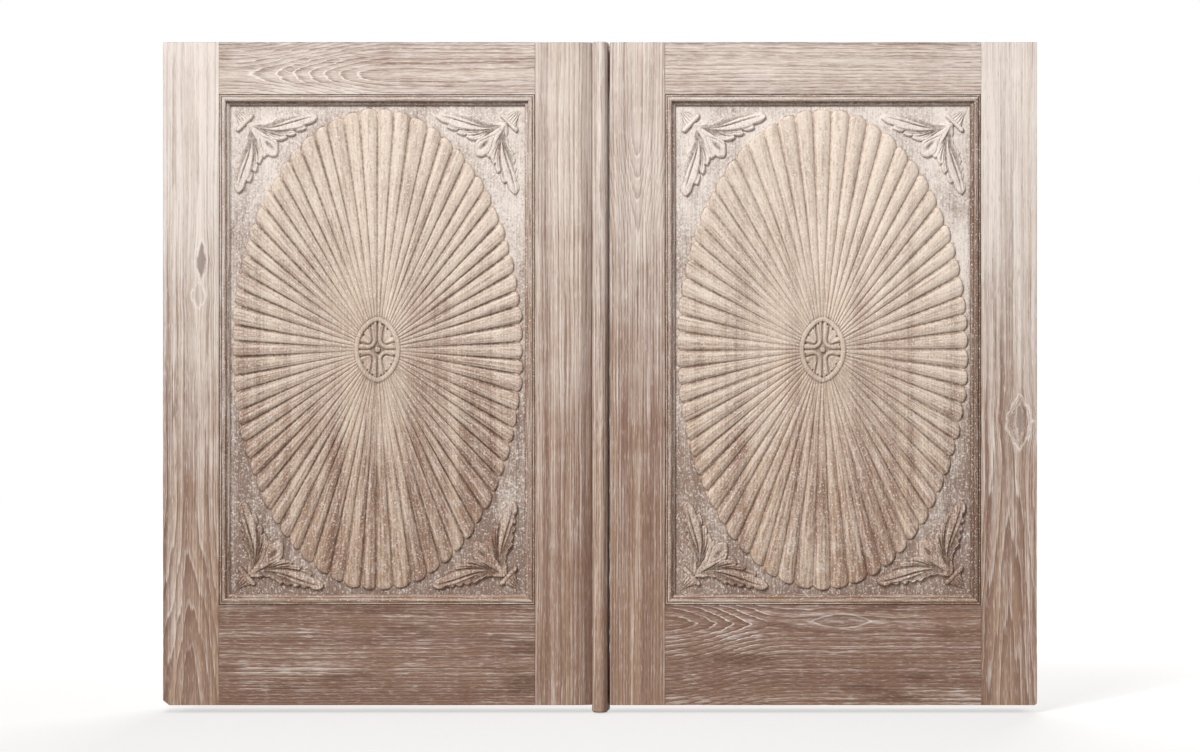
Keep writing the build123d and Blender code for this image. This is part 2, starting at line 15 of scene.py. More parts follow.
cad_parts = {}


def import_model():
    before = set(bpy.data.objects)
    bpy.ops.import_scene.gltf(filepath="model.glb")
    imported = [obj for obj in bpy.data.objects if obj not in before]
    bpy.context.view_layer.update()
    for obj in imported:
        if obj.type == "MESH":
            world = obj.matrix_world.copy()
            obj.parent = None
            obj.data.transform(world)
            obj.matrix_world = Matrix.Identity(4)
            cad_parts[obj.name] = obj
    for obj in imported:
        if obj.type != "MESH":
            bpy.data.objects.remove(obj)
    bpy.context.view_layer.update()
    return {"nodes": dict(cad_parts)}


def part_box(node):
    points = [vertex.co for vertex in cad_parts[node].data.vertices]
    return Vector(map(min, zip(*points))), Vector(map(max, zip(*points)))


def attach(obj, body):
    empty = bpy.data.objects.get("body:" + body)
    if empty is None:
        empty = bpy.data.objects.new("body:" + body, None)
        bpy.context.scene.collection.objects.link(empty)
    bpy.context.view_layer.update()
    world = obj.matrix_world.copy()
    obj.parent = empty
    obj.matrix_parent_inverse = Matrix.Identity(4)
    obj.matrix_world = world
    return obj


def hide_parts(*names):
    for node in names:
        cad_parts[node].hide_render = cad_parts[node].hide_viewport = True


LOG = logging.getLogger("carved_door")
MM = 0.001
LEAST_DIRT_AND_SHADE = 0.01  # least dirt and painted shade on a carved shell; where there is less, the union of two shells made the point
Colour = tuple[float, float, float, float]
Triple = tuple[float, float, float]
Path = tuple[tuple[float, float], ...]
Triples = tuple[Triple, ...]
Array = np.ndarray
Surface = Callable[[Array], tuple[Array, Array]]


# Small maths


def tint(red: int, green: int, blue: int) -> Colour:
    """A colour as a shader takes it.

    Args:
        red: Red from 0 to 255, as a screen shows it.
        green: Green from 0 to 255.
        blue: Blue from 0 to 255.

    Returns:
        The linear colour with full opacity.
    """
    parts = []
    for value in (red, green, blue):
        share = value / 255
        parts.append(share / 12.92 if share <= 0.04045 else ((share + 0.055) / 1.055) ** 2.4)
    return parts[0], parts[1], parts[2], 1.0


WHITE: Colour = (1.0, 1.0, 1.0, 1.0)
RAW_WOOD, HONEY_WOOD, ROSE_WOOD = tint(150, 118, 100), tint(190, 158, 130), tint(163, 130, 119)
CREAM_RAW, CREAM_HONEY = tint(158, 125, 104), tint(195, 164, 137)
DARK_RAW, DARK_HONEY = tint(116, 88, 72), tint(138, 110, 90)
STAINED_RAW, STAINED_HONEY = tint(138, 106, 89), tint(166, 136, 114)
RING_BROWN, FIBRE_BROWN = tint(116, 88, 75), tint(112, 86, 74)
PATCH_BROWN, PORE_BROWN = tint(98, 70, 54), tint(112, 88, 78)
# The second colour below is the dark brown of dirt and dark joints, and also of painted shade in creases, grooves and
# at the carving's feet.
GROUND_GREY, SOOT_AND_SHADE = tint(140, 121, 112), tint(92, 67, 52)
LIME, SUN_LIME, CHALK = tint(241, 230, 221), tint(238, 221, 204), tint(244, 236, 228)
IRON, WORN_IRON, RUST = tint(62, 58, 55), tint(96, 90, 85), tint(104, 62, 40)


def eased(values: Array, low: float, high: float) -> Array:
    """Rises smoothly from 0 where the values are at low to 1 where they are at high."""
    share = np.clip((values - low) / (high - low), 0, 1)
    return share * share * (3 - 2 * share)


class Ripple:
    """Smooth, repeatable unevenness over a plane."""

    def __init__(self, seed: int, size: int = 97) -> None:
        """Draws the lattice of values for a seed; it repeats after size cells."""
        self.size = size
        self.values = np.random.default_rng(seed).uniform(-1, 1, (size, size))

    def at(self, x: Array, y: Array) -> Array:
        """The unevenness at each point, from -1 to 1, with one lattice cell to a unit.

        Args:
            x: First coordinate of each point.
            y: Second coordinate of each point.

        Returns:
            One number for each point.
        """
        left, low = np.floor(x).astype(int), np.floor(y).astype(int)
        across, up = eased(x - left, 0, 1), eased(y - low, 0, 1)
        corner = [
            self.values[(left + i) % self.size, (low + j) % self.size] for i, j in ((0, 0), (1, 0), (0, 1), (1, 1))
        ]
        lower = corner[0] + (corner[1] - corner[0]) * across
        upper = corner[2] + (corner[3] - corner[2]) * across
        return lower + (upper - lower) * up


def flowing(anchors: Sequence[tuple[float, float]], steps: int = 8) -> Array:
    """A smooth curve through some points.

    Args:
        anchors: The points in order.
        steps: How many short lines each stretch between two points gets.

    Returns:
        The curve's points, one a row.
    """
    ends = np.array(anchors, float)
    padded = np.vstack([2 * ends[0] - ends[1], ends, 2 * ends[-1] - ends[-2]])
    curve = []
    for i in range(len(ends) - 1):
        before, start, stop, after = padded[i : i + 4]
        for t in np.linspace(0, 1, steps, endpoint=False):
            bend = (2 * before - 5 * start + 4 * stop - after) * t**2 + (3 * start - before - 3 * stop + after) * t**3
            curve.append(0.5 * (2 * start + (stop - before) * t + bend))
    curve.append(ends[-1])
    return np.array(curve)


def bowed(anchors: Sequence[Triple], steps: int = 7) -> Array:
    """A closed outline of arcs.

    Args:
        anchors: Each arc's start and how far its middle bows out to the left of its run.
        steps: How many short lines an arc gets; a straight one gets a third.

    Returns:
        The outline's points, one a row.
    """
    outline = []
    for i, (x, y, bow) in enumerate(anchors):
        start, stop = np.array([x, y]), np.array(anchors[(i + 1) % len(anchors)][:2])
        run = stop - start
        side = np.array([-run[1], run[0]]) / max(float(np.linalg.norm(run)), 1e-6)
        middle = (start + stop) / 2 + 2 * bow * side
        count = steps if abs(bow) > 0.2 else max(steps // 3, 1)
        for t in np.linspace(0, 1, count, endpoint=False):
            outline.append((1 - t) ** 2 * start + 2 * t * (1 - t) * middle + t**2 * stop)
    return np.array(outline)


def away_from(points: Array, path: Array) -> tuple[Array, Array, Array]:
    """How far points lie from a path.

    Args:
        points: The points, one a row.
        path: The path's points in order, one a row.

    Returns:
        For each point its distance, the share of the path passed at the nearest place, and the side: 1 on the
        left of the run and -1 on the right.
    """
    starts, runs = path[:-1], path[1:] - path[:-1]
    lengths = np.maximum((runs**2).sum(1), 1e-9)
    offset = points[:, None, :] - starts[None]
    share = np.clip((offset * runs[None]).sum(2) / lengths[None], 0, 1)
    gap = offset - share[:, :, None] * runs[None]
    squares = (gap**2).sum(2)
    nearest = squares.argmin(1)
    rows = np.arange(len(points))
    cross = runs[nearest, 0] * gap[rows, nearest, 1] - runs[nearest, 1] * gap[rows, nearest, 0]
    passed = (nearest + share[rows, nearest]) / len(runs)
    return np.sqrt(squares[rows, nearest]), passed, np.where(cross >= 0, 1.0, -1.0)


def within(points: Array, outline: Array) -> Array:
    """Which points lie inside a closed outline.

    Args:
        points: The points, one a row.
        outline: The outline's points in order, one a row.

    Returns:
        True for each point inside.
    """
    x, y = points[:, 0][:, None], points[:, 1][:, None]
    following = np.roll(outline, -1, axis=0)
    straddles = (outline[None, :, 1] > y) != (following[None, :, 1] > y)
    rise = following[None, :, 1] - outline[None, :, 1]
    rise = np.where(np.abs(rise) < 1e-12, 1e-12, rise)
    crossing = outline[None, :, 0] + (y - outline[None, :, 1]) / rise * (following[None, :, 0] - outline[None, :, 0])
    return (straddles & (x < crossing)).sum(1) % 2 == 1


def off_rim(points: Array, outline: Array) -> Array:
    """How far points lie from a closed outline."""
    return away_from(points, np.vstack([outline, outline[:1]]))[0]


def rounded(gap: Array, width: float, lip: float) -> Array:
    """The share of full height in a quarter round, from lip at the edge to 1 where the gap is the width."""
    return lip + (1 - lip) * np.sqrt(1 - (1 - np.clip(gap / width, 0, 1)) ** 2)


# Meshes


def between(levels: int, count: int, closed: bool = True) -> list[tuple[int, ...]]:
    """Four-cornered faces between rows of points.

    Args:
        levels: How many rows there are.
        count: How many points each row has.
        closed: Whether a row runs round to its first point.

    Returns:
        The faces, as the numbers of their points.
    """
    faces: list[tuple[int, ...]] = []
    for i in range(levels - 1):
        for j in range(count if closed else count - 1):
            a, b = i * count + j, i * count + (j + 1) % count
            faces.append((a, b, b + count, a + count))
    return faces


def halved(faces: list[tuple[int, ...]]) -> list[tuple[int, int, int]]:
    """Each four-cornered face as two triangles."""
    return [half for a, b, c, d in faces for half in ((a, b, c), (a, c, d))]


def paint_dirt_and_shade(mesh: bpy.types.Mesh, dirt_and_shade: Array) -> None:
    """Marks dirt and painted shade on each point of a mesh."""
    mesh.attributes.new("dirt_and_shade", "FLOAT", "POINT").data.foreach_set("value", dirt_and_shade.astype(np.float32))


def finished(skin: bmesh.types.BMesh, name: str) -> bpy.types.Object:
    """Turns a skin into an object that is in no scene yet.

    Args:
        skin: The skin, which is used up.
        name: The object's name.

    Returns:
        The object.
    """
    mesh = bpy.data.meshes.new(name)
    skin.to_mesh(mesh)
    skin.free()
    return bpy.data.objects.new(name, mesh)


# Carved shells


@dataclass
class Shell:
    """A closed skin of carved wood on a panel: points as across, up and out in mm, faces, and dirt with painted shade
    at each point.
    """

    points: Array
    faces: list[tuple[int, ...]]
    dirt_and_shade: Array

    def moved(self, turn: Array, offset: tuple[float, float]) -> "Shell":
        """The shell turned, scaled or mirrored in the panel's plane, and shifted.

        Args:
            turn: Two by two matrix for across and up.
            offset: How far it then shifts across and up.

        Returns:
            The new shell, its skin still facing outwards.
        """
        points = self.points.copy()
        points[:, :2] = points[:, :2] @ turn.T + np.array(offset)
        faces = self.faces if np.linalg.det(turn) > 0 else [face[::-1] for face in self.faces]
        return Shell(points, faces, self.dirt_and_shade)

    def built(self, name: str, place: Callable[[Array], Array]) -> bpy.types.Object:
        """The shell as an object that is in no scene yet.

        Args:
            name: The object's name.
            place: Turns across, up and out in mm into places in the row's frame, in metres.

        Returns:
            The object.
        """
        mesh = bpy.data.meshes.new(name)
        mesh.from_pydata(place(self.points).tolist(), [], self.faces)
        paint_dirt_and_shade(mesh, np.clip(self.dirt_and_shade, LEAST_DIRT_AND_SHADE, 1))
        mesh.update()
        return bpy.data.objects.new(name, mesh)


def closed_over(
    top: Array,
    triangles: list[tuple[int, int, int]],
    dirt_and_shade: Array,
    sink: float,
    draft: float,
    foot: float = 0.9,
) -> Shell:
    """Closes a carved surface with walls down to a flat, sunk underside.

    Args:
        top: The surface's points.
        triangles: Its faces, facing out of the panel, round one rim.
        dirt_and_shade: Dirt and painted shade at each point.
        sink: How far under the panel's ground the underside lies.
        draft: How far the walls spread for each mm that they go down.
        foot: Painted shadow at the walls' foot, with some dirt.

    Returns:
        The closed shell.
    """
    count = len(top)
    seen: set[tuple[int, int]] = set()
    for a, b, c in triangles:
        seen.update(((a, b), (b, c), (c, a)))
    following = {a: b for a, b in seen if (b, a) not in seen}
    rim = [min(following)]
    while following[rim[-1]] != rim[0]:
        rim.append(following[rim[-1]])
    below = top[rim]
    run = np.roll(below, -1, axis=0)[:, :2] - below[:, :2]
    side = np.column_stack([run[:, 1], -run[:, 0]]) / np.maximum(np.hypot(run[:, 0], run[:, 1]), 1e-9)[:, None]
    before = np.roll(side, 1, axis=0)
    hollow = before[:, 0] * side[:, 1] - before[:, 1] * side[:, 0] < -0.12
    spread = (side + before) / 2 * ((below[:, 2] + sink) * np.where(hollow, 0.2, 1.0) * draft)[:, None]
    spread = (np.roll(spread, 1, axis=0) + 2 * spread + np.roll(spread, -1, axis=0)) / 4
    below[:, :2] += spread
    below[:, 2] = -sink
    size = len(rim)
    walls = [(rim[i], count + i, count + (i + 1) % size, rim[(i + 1) % size]) for i in range(size)]
    under = tuple(range(count, count + size))[::-1]
    return Shell(np.vstack([top, below]), [*triangles, *walls, under], np.concatenate([dirt_and_shade, np.full(size, foot)]))


def carved(outline: Array, surface: Surface, spacing: float, sink: float = 0.6) -> Shell:
    """Carves a shell whose plan is an outline.

    Args:
        outline: The plan's outline in mm, one point a row.
        surface: Gives height, and dirt with painted shade, for points of the plan.
        spacing: How far apart its inner points lie.
        sink: How far under the panel's ground the underside lies.

    Returns:
        The closed shell.
    """
    low, high = outline.min(0), outline.max(0)
    rows = np.arange(low[1], high[1], spacing * 0.87)
    inner = []
    for i, y in enumerate(rows):
        xs = np.arange(low[0] + (i % 2) * spacing / 2, high[0], spacing)
        inner.append(np.column_stack([xs, np.full(len(xs), y)]))
    points = np.vstack(inner)
    points = points[within(points, outline)]
    points = points[off_rim(points, outline) > spacing * 0.55]
    count = len(outline)
    rim = [(i, (i + 1) % count) for i in range(count)]
    verts, _, faces, *_ = delaunay_2d_cdt([Vector(p) for p in np.vstack([outline, points])], rim, [], 1, 1e-5)
    plan = np.array([(v.x, v.y) for v in verts])
    triangles = []
    for face in faces:
        a, b, c = face[:3]
        ab, ac = plan[b] - plan[a], plan[c] - plan[a]
        turns_left = ab[0] * ac[1] - ab[1] * ac[0] > 0
        triangles.append((a, b, c) if turns_left else (a, c, b))
    height, dirt_and_shade = surface(plan)
    return closed_over(np.column_stack([plan, height]), triangles, dirt_and_shade, sink, 0.42)


def united(pieces: Sequence[bpy.types.Object], name: str) -> bpy.types.Mesh:
    """Joins closed shells into one skin.

    Args:
        pieces: The shells' objects, the largest first. They are used up.
        name: The new mesh's name.

    Returns:
        The mesh of their union.
    """
    scene = bpy.context.scene.collection
    for piece in pieces:
        scene.objects.link(piece)
    first = pieces[0]
    for other in pieces[1:]:
        join = first.modifiers.new("join", "BOOLEAN")
        join.operation, join.solver, join.object = "UNION", "MANIFOLD", other
    graph = bpy.context.evaluated_depsgraph_get()
    mesh = bpy.data.meshes.new_from_object(first.evaluated_get(graph))
    mesh.name = name
    for piece in pieces:
        old = piece.data
        bpy.data.objects.remove(piece)
        bpy.data.meshes.remove(old)
    return mesh


@dataclass(frozen=True)
class Gouge:
    """A groove cut along a curve, shallower towards its two ends."""

    path: Path
    width: float = 1.1
    depth: float = 1.0

    def bite(self, points: Array) -> Array:
        """How deep the groove is at each point, in mm.

        Args:
            points: Points of the plan, one a row.

        Returns:
            The depth at each.
        """
        gap, passed, _ = away_from(points, flowing(self.path, 5))
        fade = np.sqrt(np.sin(np.clip(passed, 0.03, 0.97) * math.pi))
        return self.depth * np.exp(-((gap / self.width) ** 2)) * fade


def deepest(grooves: Sequence[Gouge], points: Array) -> Array:
    """How deep the deepest of some grooves is at each point, in mm."""
    return np.max([groove.bite(points) for groove in grooves], axis=0)


@dataclass
class Sunburst:
    """Tapered, convex reeds between grooves that run straight from the middle of an oval to its rim."""

    count: int
    seed: int
    phase: float = 0.0
    # How dark the grooves are painted: painted shade with some dirt.
    groove_shade: float = 1.0
    half_width: float = 240.0
    half_height: float = 397.0
    crown: float = 5.5
    groove_depth: float = 5.1
    tip_depth: float = 10.5
    tip_rounding: float = 5.5
    core_half_width: float = 34.0
    core_half_height: float = 47.5
    across: tuple[float, ...] = (-1, -0.95, -0.87, -0.75, -0.6, -0.4, -0.14, 0.14, 0.4, 0.6, 0.75, 0.87, 0.95)
    tip_steps: tuple[float, ...] = (0, 0.5, 1.3, 2.4, 3.8, 5.5, 8, 12, 18, 26)
    rows: int = 26
    inner_height: float = 0.2

    def bearings(self) -> Array:
        """Bearings of the grooves, a little uneven, spaced by equal lengths of the rim.

        Returns:
            One bearing for each groove, and the first again a turn later.
        """
        turn = np.linspace(0, 4 * math.pi, 14401)
        x, y = self.half_width * np.cos(turn), self.half_height * np.sin(turn)
        run = np.concatenate([[0], np.cumsum(np.hypot(np.diff(x), np.diff(y)))])
        bearing = np.unwrap(np.arctan2(y, x))
        uneven = np.random.default_rng(self.seed).uniform(-0.09, 0.09, self.count)
        marks = (np.arange(self.count) + self.phase + uneven) * run[-1] / 2 / self.count
        first = np.interp(marks, run, bearing)
        return np.append(first, first[0] + 2 * math.pi)

    def shell(self) -> Shell:
        """The whole sunburst as one shell.

        Returns:
            The closed shell, centred on the oval's middle.
        """
        random = np.random.default_rng(self.seed + 1)
        grooves = self.bearings()
        stations = len(self.across)
        share = np.tile(np.array(self.across), self.count)
        reed = np.repeat(np.arange(self.count), stations)
        middle, half = (grooves[1:] + grooves[:-1]) / 2, (grooves[1:] - grooves[:-1]) / 2
        bearing = middle[reed] + half[reed] * share
        reach = 1 / np.hypot(np.cos(bearing) / self.half_width, np.sin(bearing) / self.half_height)
        start = 1 / np.hypot(np.cos(bearing) / self.core_half_width, np.sin(bearing) / self.core_half_height)
        longer = random.uniform(-1.6, 1.0, self.count)[reed] * (1 - share**4)
        notch = 1 - np.sqrt(np.clip(1 - np.abs(share) ** 2.3, 0, 1))
        tip = reach + longer - self.tip_depth * notch
        radii = [tip - step for step in self.tip_steps]
        for fraction in np.linspace(0, 1, self.rows + 1)[1:]:
            radii.append(tip - self.tip_steps[-1] + (start - tip + self.tip_steps[-1]) * fraction)
        radii.append(start - 0.5)
        radius = np.array(radii)
        from_tip = tip - radius

        crest = 1 - share**2
        depth = self.groove_depth * (radius / reach) ** 0.62
        height = self.crown + random.uniform(-0.35, 0.35, self.count)[reed] * crest
        height = height - depth * (0.5 * share**2 + 0.5 * np.abs(share) ** 4)
        wave = Ripple(self.seed + 2)
        height += 0.22 * wave.at(radius / 34, reed * 3.7) * crest
        height += 0.07 * wave.at(radius / 7 + 31, bearing * 60)
        height *= rounded(from_tip, self.tip_rounding, 0.55)
        height[-1] = self.inner_height

        sway = 0.5 * wave.at(radius / 60, reed * 5.3 + 11)
        sway *= eased(from_tip, 0, 30) * eased(radius, 40, 120) * (np.abs(share) < 1)
        x = radius * np.cos(bearing) - sway * np.sin(bearing)
        y = radius * np.sin(bearing) + sway * np.cos(bearing)
        # Painted shade with some dirt: the grooves are darkened, more towards the oval's left and right and towards
        # its rim, and each tip gets a dark outline.
        shade_by_bearing = 0.72 + 0.36 * np.abs(np.cos(bearing))
        groove = self.groove_shade * shade_by_bearing * eased(np.abs(share), 0.62, 0.95) * (0.5 + 0.45 * eased(radius, 60, 200))
        dirt_and_shade = np.maximum(groove * eased(from_tip, -2, 9), 0.25 * (1 - eased(from_tip, 0, 1.6)))

        levels, ring = radius.shape
        last, centre = (levels - 1) * ring, levels * ring
        points = np.column_stack([x.ravel(), y.ravel(), height.ravel()])
        triangles = halved(between(levels, ring))
        triangles += [(last + j, last + (j + 1) % ring, centre) for j in range(ring)]
        points = np.vstack([points, [[0, 0, self.inner_height]]])
        return closed_over(points, triangles, np.append(dirt_and_shade.ravel(), 0.2), 0.6, 0.3)


@dataclass
class Medallion:
    """Pointed oval boss: a round rim, a cross of double stems, four petals, a button and a ring of holes."""

    half_width: float = 38.8
    half_height: float = 55.0
    rim_width: float = 8.6
    crest: float = 7.3
    field: float = 5.4
    spacing: float = 0.7
    holes: int = 18

    def oval(self, inset: float, sides: int = 110) -> Array:
        """The boss's outline, slightly pointed above and below.

        Args:
            inset: How far inside the rim's outer edge it runs.
            sides: How many points it has.

        Returns:
            The outline's points, one a row.
        """
        turn = np.linspace(0, 2 * math.pi, sides, endpoint=False)
        wide, tall = self.half_width - inset, self.half_height - inset
        narrow = np.sign(np.cos(turn)) * np.abs(np.cos(turn)) ** 1.26
        return np.column_stack([wide * narrow, tall * np.sin(turn)])

    def petal_gap(self, x: Array, y: Array) -> Array:
        """How far points lie inside the round-cornered petal of their quarter, or outside it where negative.

        Args:
            x: Distance from the upright axis, in mm.
            y: Distance from the level axis.

        Returns:
            The distance for each.
        """
        arm, corner = 8.6, 8.5
        narrow = x / (1 + 0.5 * eased(y, 10, 46)) - arm
        short = y / (1 + 0.5 * eased(x, 9, 31)) - arm
        left_x, left_y = corner - narrow, corner - short
        rounded = corner - np.hypot(np.maximum(left_x, 0), np.maximum(left_y, 0))
        return np.where((left_x <= 0) & (left_y <= 0), corner + np.minimum(-left_x, -left_y), rounded)

    def surface(self, points: Array) -> tuple[Array, Array]:
        """The boss's height, and its dirt with painted shade in the grooves, trench and holes and on the rim's
        flanks.

        Args:
            points: Points of the plan, one a row.

        Returns:
            Height in mm, and dirt with painted shade, for each.
        """
        gap = off_rim(points, self.oval(0))
        x, y = np.abs(points[:, 0]), np.abs(points[:, 1])
        half = self.rim_width / 2
        off_crest = np.abs(gap - half) / half
        rim = np.sqrt(np.clip(1 - off_crest**2.6, 0, 1))
        rim_height = 3.4 + (self.crest - 3.4) * rim
        inside = gap > self.rim_width * 0.95

        inward = self.petal_gap(x, y)
        petal = self.field * rounded(inward, 2.2, 0.35) - 1.5 * eased(inward, 2.0, 7.0)
        petal += 0.45 * np.cos(np.arctan2(y, x * 1.3) * 16) * eased(inward, 0.8, 3.0)
        ridge = np.sqrt(np.clip(1 - np.abs((inward + 4.75) / 3.2) ** 2.4, 0, 1))
        stem = 1.9 + (self.field - 1.2) * ridge
        height = np.where(inward > 0, petal, stem)
        # dark is painted shade with some dirt: along the petals' edges, in the stems' middle grooves, round the
        # button, in the trench and holes and on the rim's flanks.
        dark = np.where(inward > 0, 0.65 * (1 - eased(inward, 0.0, 0.9)), 0.65 * (1 - eased(ridge, 0.0, 0.7)))
        button = np.hypot(x, y)
        dome = np.sqrt(np.clip(1 - (button / 4.6) ** 2, 0, 1))
        height = np.where(button < 4.6, self.field + 1.7 * dome, height)
        dark = np.where(button < 4.3, 0.03, np.maximum(dark, np.exp(-(((button - 5.2) / 0.9) ** 2))))
        trench = np.exp(-(((gap - self.rim_width - 0.3) / 0.8) ** 2))
        height = height - 1.4 * trench
        dark = np.maximum(dark, 0.45 * trench)
        ring = self.oval(self.rim_width + 2.0)
        for k in range(self.holes):
            hole = ring[int((k + 0.5) / self.holes * len(ring))]
            drilled = np.exp(-((np.hypot(points[:, 0] - hole[0], points[:, 1] - hole[1]) / 1.5) ** 4))
            height = height - 3.2 * drilled
            dark = np.maximum(dark, drilled)
        height = np.where(inside, np.maximum(height, 0.8), rim_height)
        dark = np.where(inside, dark, 0.25 * off_crest**4)
        height = height + 0.06 * Ripple(5).at(points[:, 0] / 2.5, points[:, 1] / 2.5)
        return height, dark

    def shell(self) -> Shell:
        """The boss as a closed shell, centred on its own middle."""
        return carved(self.oval(0), self.surface, self.spacing)


@dataclass
class Spray:
    """Corner carving: a collar across the diagonal, two toothed leaves, a lobe between them and a tail of stems.

    Its places are in mm from the corner of the visible panel, along the level edge and away from it.
    """

    seed: int
    spacing: float = 0.72
    relief: float = 6.2
    outer_height: float = 2.0
    boldness: float = 1.25
    outer_edge: Triples = (
        (30, 28, 0), (42, 27.5, -0.8), (52, 30.5, -0.8), (64, 28, -0.5), (72, 23.5, 0), (79, 17.6, 0.6),
        (85, 20, -1.0), (92, 16.0, 0.4), (98, 18.2, -1.0), (104, 13.6, 0.4), (111, 16.2, -1.0), (117, 12.4, 0.4),
        (125, 14.0, -1.2), (136, 10.2, -1.0), (144, 12.8, -0.8),
    )
    inner_edge: Triples = (
        (147, 18.2, -2.6), (126.5, 30.0, 0), (128.5, 35.9, -2.6), (108.6, 39.7, 0), (111.7, 45.1, -2.4),
        (95.4, 47.7, 0), (97.3, 51.9, -2.6), (77, 56.2, -1.0), (60, 53, -0.6), (44, 46, 0), (32, 36, 0),
    )
    rib: Path = (
        (34, 32), (48, 36), (62, 36.5), (78, 34), (94, 29.5), (111, 24), (128, 19), (143, 16),
    )
    inner_flow: Path = (
        (38, 38), (50, 47), (64, 53), (79, 55), (95, 50), (110, 43), (127, 33.5), (145, 19),
    )
    outer_flow: Path = (
        (32, 28), (44, 28.5), (60, 29), (74, 22), (90, 17.5), (108, 14.5), (126, 12.5), (142, 12),
    )
    inner_stops: tuple[float, ...] = (0.36, 0.46, 0.57, 0.71, 0.857, 0.95)
    outer_stops: tuple[float, ...] = (0.3, 0.42, 0.53, 0.63, 0.73, 0.83, 0.93)
    lobe_edge: Triples = (
        (36, 36, 0), (60, 48, -0.6), (79, 56, -1.2), (82, 70, -1.4), (80, 83, -2.0), (66, 82, 1.0),
        (61, 86, -1.6), (53, 82, -0.6), (47, 62, 0),
    )
    tail_edge: Triples = (
        (36, 19, 0.4), (22, 11.5, -0.5), (9, 5.5, -1.2), (5.5, 9, -0.5), (11.5, 22, 0.4), (17, 38, 0), (27, 30, 0),
    )

    @staticmethod
    def along(curve: Array, share: Array) -> Array:
        """Points at shares of a curve's length in steps."""
        steps = np.linspace(0, 1, len(curve))
        return np.column_stack([np.interp(share, steps, curve[:, i]) for i in range(2)])

    def veins(self) -> list[Gouge]:
        """Grooves that leave the rib one after another and run out to the leaf's two edges.

        Returns:
            The grooves.
        """
        rib = flowing(self.rib)
        grooves = []
        sides = ((self.inner_flow, self.inner_stops, 1.35), (self.outer_flow, self.outer_stops, 1.6))
        for flow, stops, bend in sides:
            edge = flowing(flow)
            for i, stop in enumerate(stops):
                share = np.linspace(0.04, stop, 7)
                out = ((share / stop) ** bend)[:, None]
                path = self.along(rib, share) * (1 - out) + self.along(edge, share) * out
                bold = flow is self.inner_flow and i % 2 == 0
                depth = (2.5 if bold else 1.8) * self.boldness
                grooves.append(Gouge(tuple(map(tuple, path)), 1.35 if bold else 1.1, depth))
        grooves.append(Gouge(self.rib, 1.3, 2.4 * self.boldness))
        return grooves

    def leaf_surface(self, points: Array) -> tuple[Array, Array]:
        """Height, and dirt with painted shade in the vein grooves, of the level leaf, which rises from its soft outer
        edge to its undercut teeth.

        Args:
            points: Points of the plan, one a row.

        Returns:
            Height in mm and dirt for each.
        """
        outline = bowed((*self.outer_edge, *self.inner_edge))
        split = int(np.hypot(*(outline - np.array(self.inner_edge[0][:2])).T).argmin())
        outer, _, _ = away_from(points, outline[: split + 1])
        inner, _, _ = away_from(points, np.vstack([outline[split:], outline[:1]]))
        share = outer / (outer + inner + 1e-6)
        height = self.outer_height + (self.relief - self.outer_height) * eased(share, -0.1, 0.7)
        height *= rounded(np.minimum(outer, inner), 2.4, 0.5)
        cut = deepest(self.veins(), points)
        height = height - cut * np.clip(height / 3.0, 0.2, 1)
        height += 0.12 * Ripple(self.seed).at(points[:, 0] / 4, points[:, 1] / 4)
        # The veins' grooves are darkened: painted shade with some dirt.
        return np.maximum(height, 0.5), np.clip(cut / 2.2, 0, 1) * 0.85

    def lobe_surface(self, points: Array) -> tuple[Array, Array]:
        """Height, and dirt with painted shade in the hollow and stems, of the lobe between the leaves.

        Args:
            points: Points of the plan, one a row.

        Returns:
            Height in mm and dirt for each.
        """
        height = self.relief * 0.95 * rounded(off_rim(points, bowed(self.lobe_edge)), 3.4, 0.45)
        along = (points[:, 0] + points[:, 1]) / math.sqrt(2) - 94
        across = (points[:, 0] - points[:, 1]) / math.sqrt(2) - 1.5
        hollow = np.exp(-((along / 11.0) ** 2 + (across / 3.6) ** 2))
        stems = []
        for spread in (-1.0, 1.0):
            upper = ((66 + 8 * spread, 68 - 8 * spread), (73 + 8 * spread, 76 - 7 * spread))
            stems.append(Gouge(((44, 44), (55 + 3 * spread, 55 - 3 * spread), *upper), 1.1, 1.6))
        cut = np.maximum(3.0 * hollow, deepest(stems, points))
        return np.maximum(height - cut, 0.6), np.clip(cut / 2.4, 0, 1) * 0.85

    def tail_surface(self, points: Array) -> tuple[Array, Array]:
        """Height, and dirt with painted shade in the grooves, of the stems that fan out behind the collar.

        Args:
            points: Points of the plan, one a row.

        Returns:
            Height in mm and dirt for each.
        """
        height = 0.8 + 3.4 * eased(points.sum(1), 8, 52)
        height *= rounded(off_rim(points, bowed(self.tail_edge)), 2.2, 0.45)
        stems = []
        for share in (-0.75, -0.38, 0.0, 0.38, 0.75):
            lead = (8 + 2.2 * share, 8 - 2.2 * share)
            foot = (26 + 10 * share, 28 - 10 * share)
            middle = ((lead[0] + foot[0]) / 2 + share, (lead[1] + foot[1]) / 2 - share)
            stems.append(Gouge((lead, middle, foot), 0.95, 1.9))
        cut = deepest(stems, points)
        return np.maximum(height - cut * 0.8, 0.4), np.clip(cut / 1.7, 0, 1) * 0.8

    def collar(self) -> Shell:
        """The round-backed bar that ties the stems, across the diagonal.

        Returns:
            The closed shell.
        """
        start, stop, half = np.array([36.5, 17.5]), np.array([14.5, 40.5]), 3.2
        run = (stop - start) / np.linalg.norm(stop - start)
        side = np.array([-run[1], run[0]])
        turn = np.linspace(-math.pi / 2, math.pi / 2, 7)
        arc = half * (np.outer(np.cos(turn), run) + np.outer(np.sin(turn), side))

        def surface(points: Array) -> tuple[Array, Array]:
            """Round across the bar, with painted shade and dirt along its foot."""
            off = np.clip(away_from(points, np.array([start, stop]))[0] / half, 0, 1)
            return 6.4 * (0.55 + 0.45 * np.sqrt(1 - off**2)), 0.35 * off**4

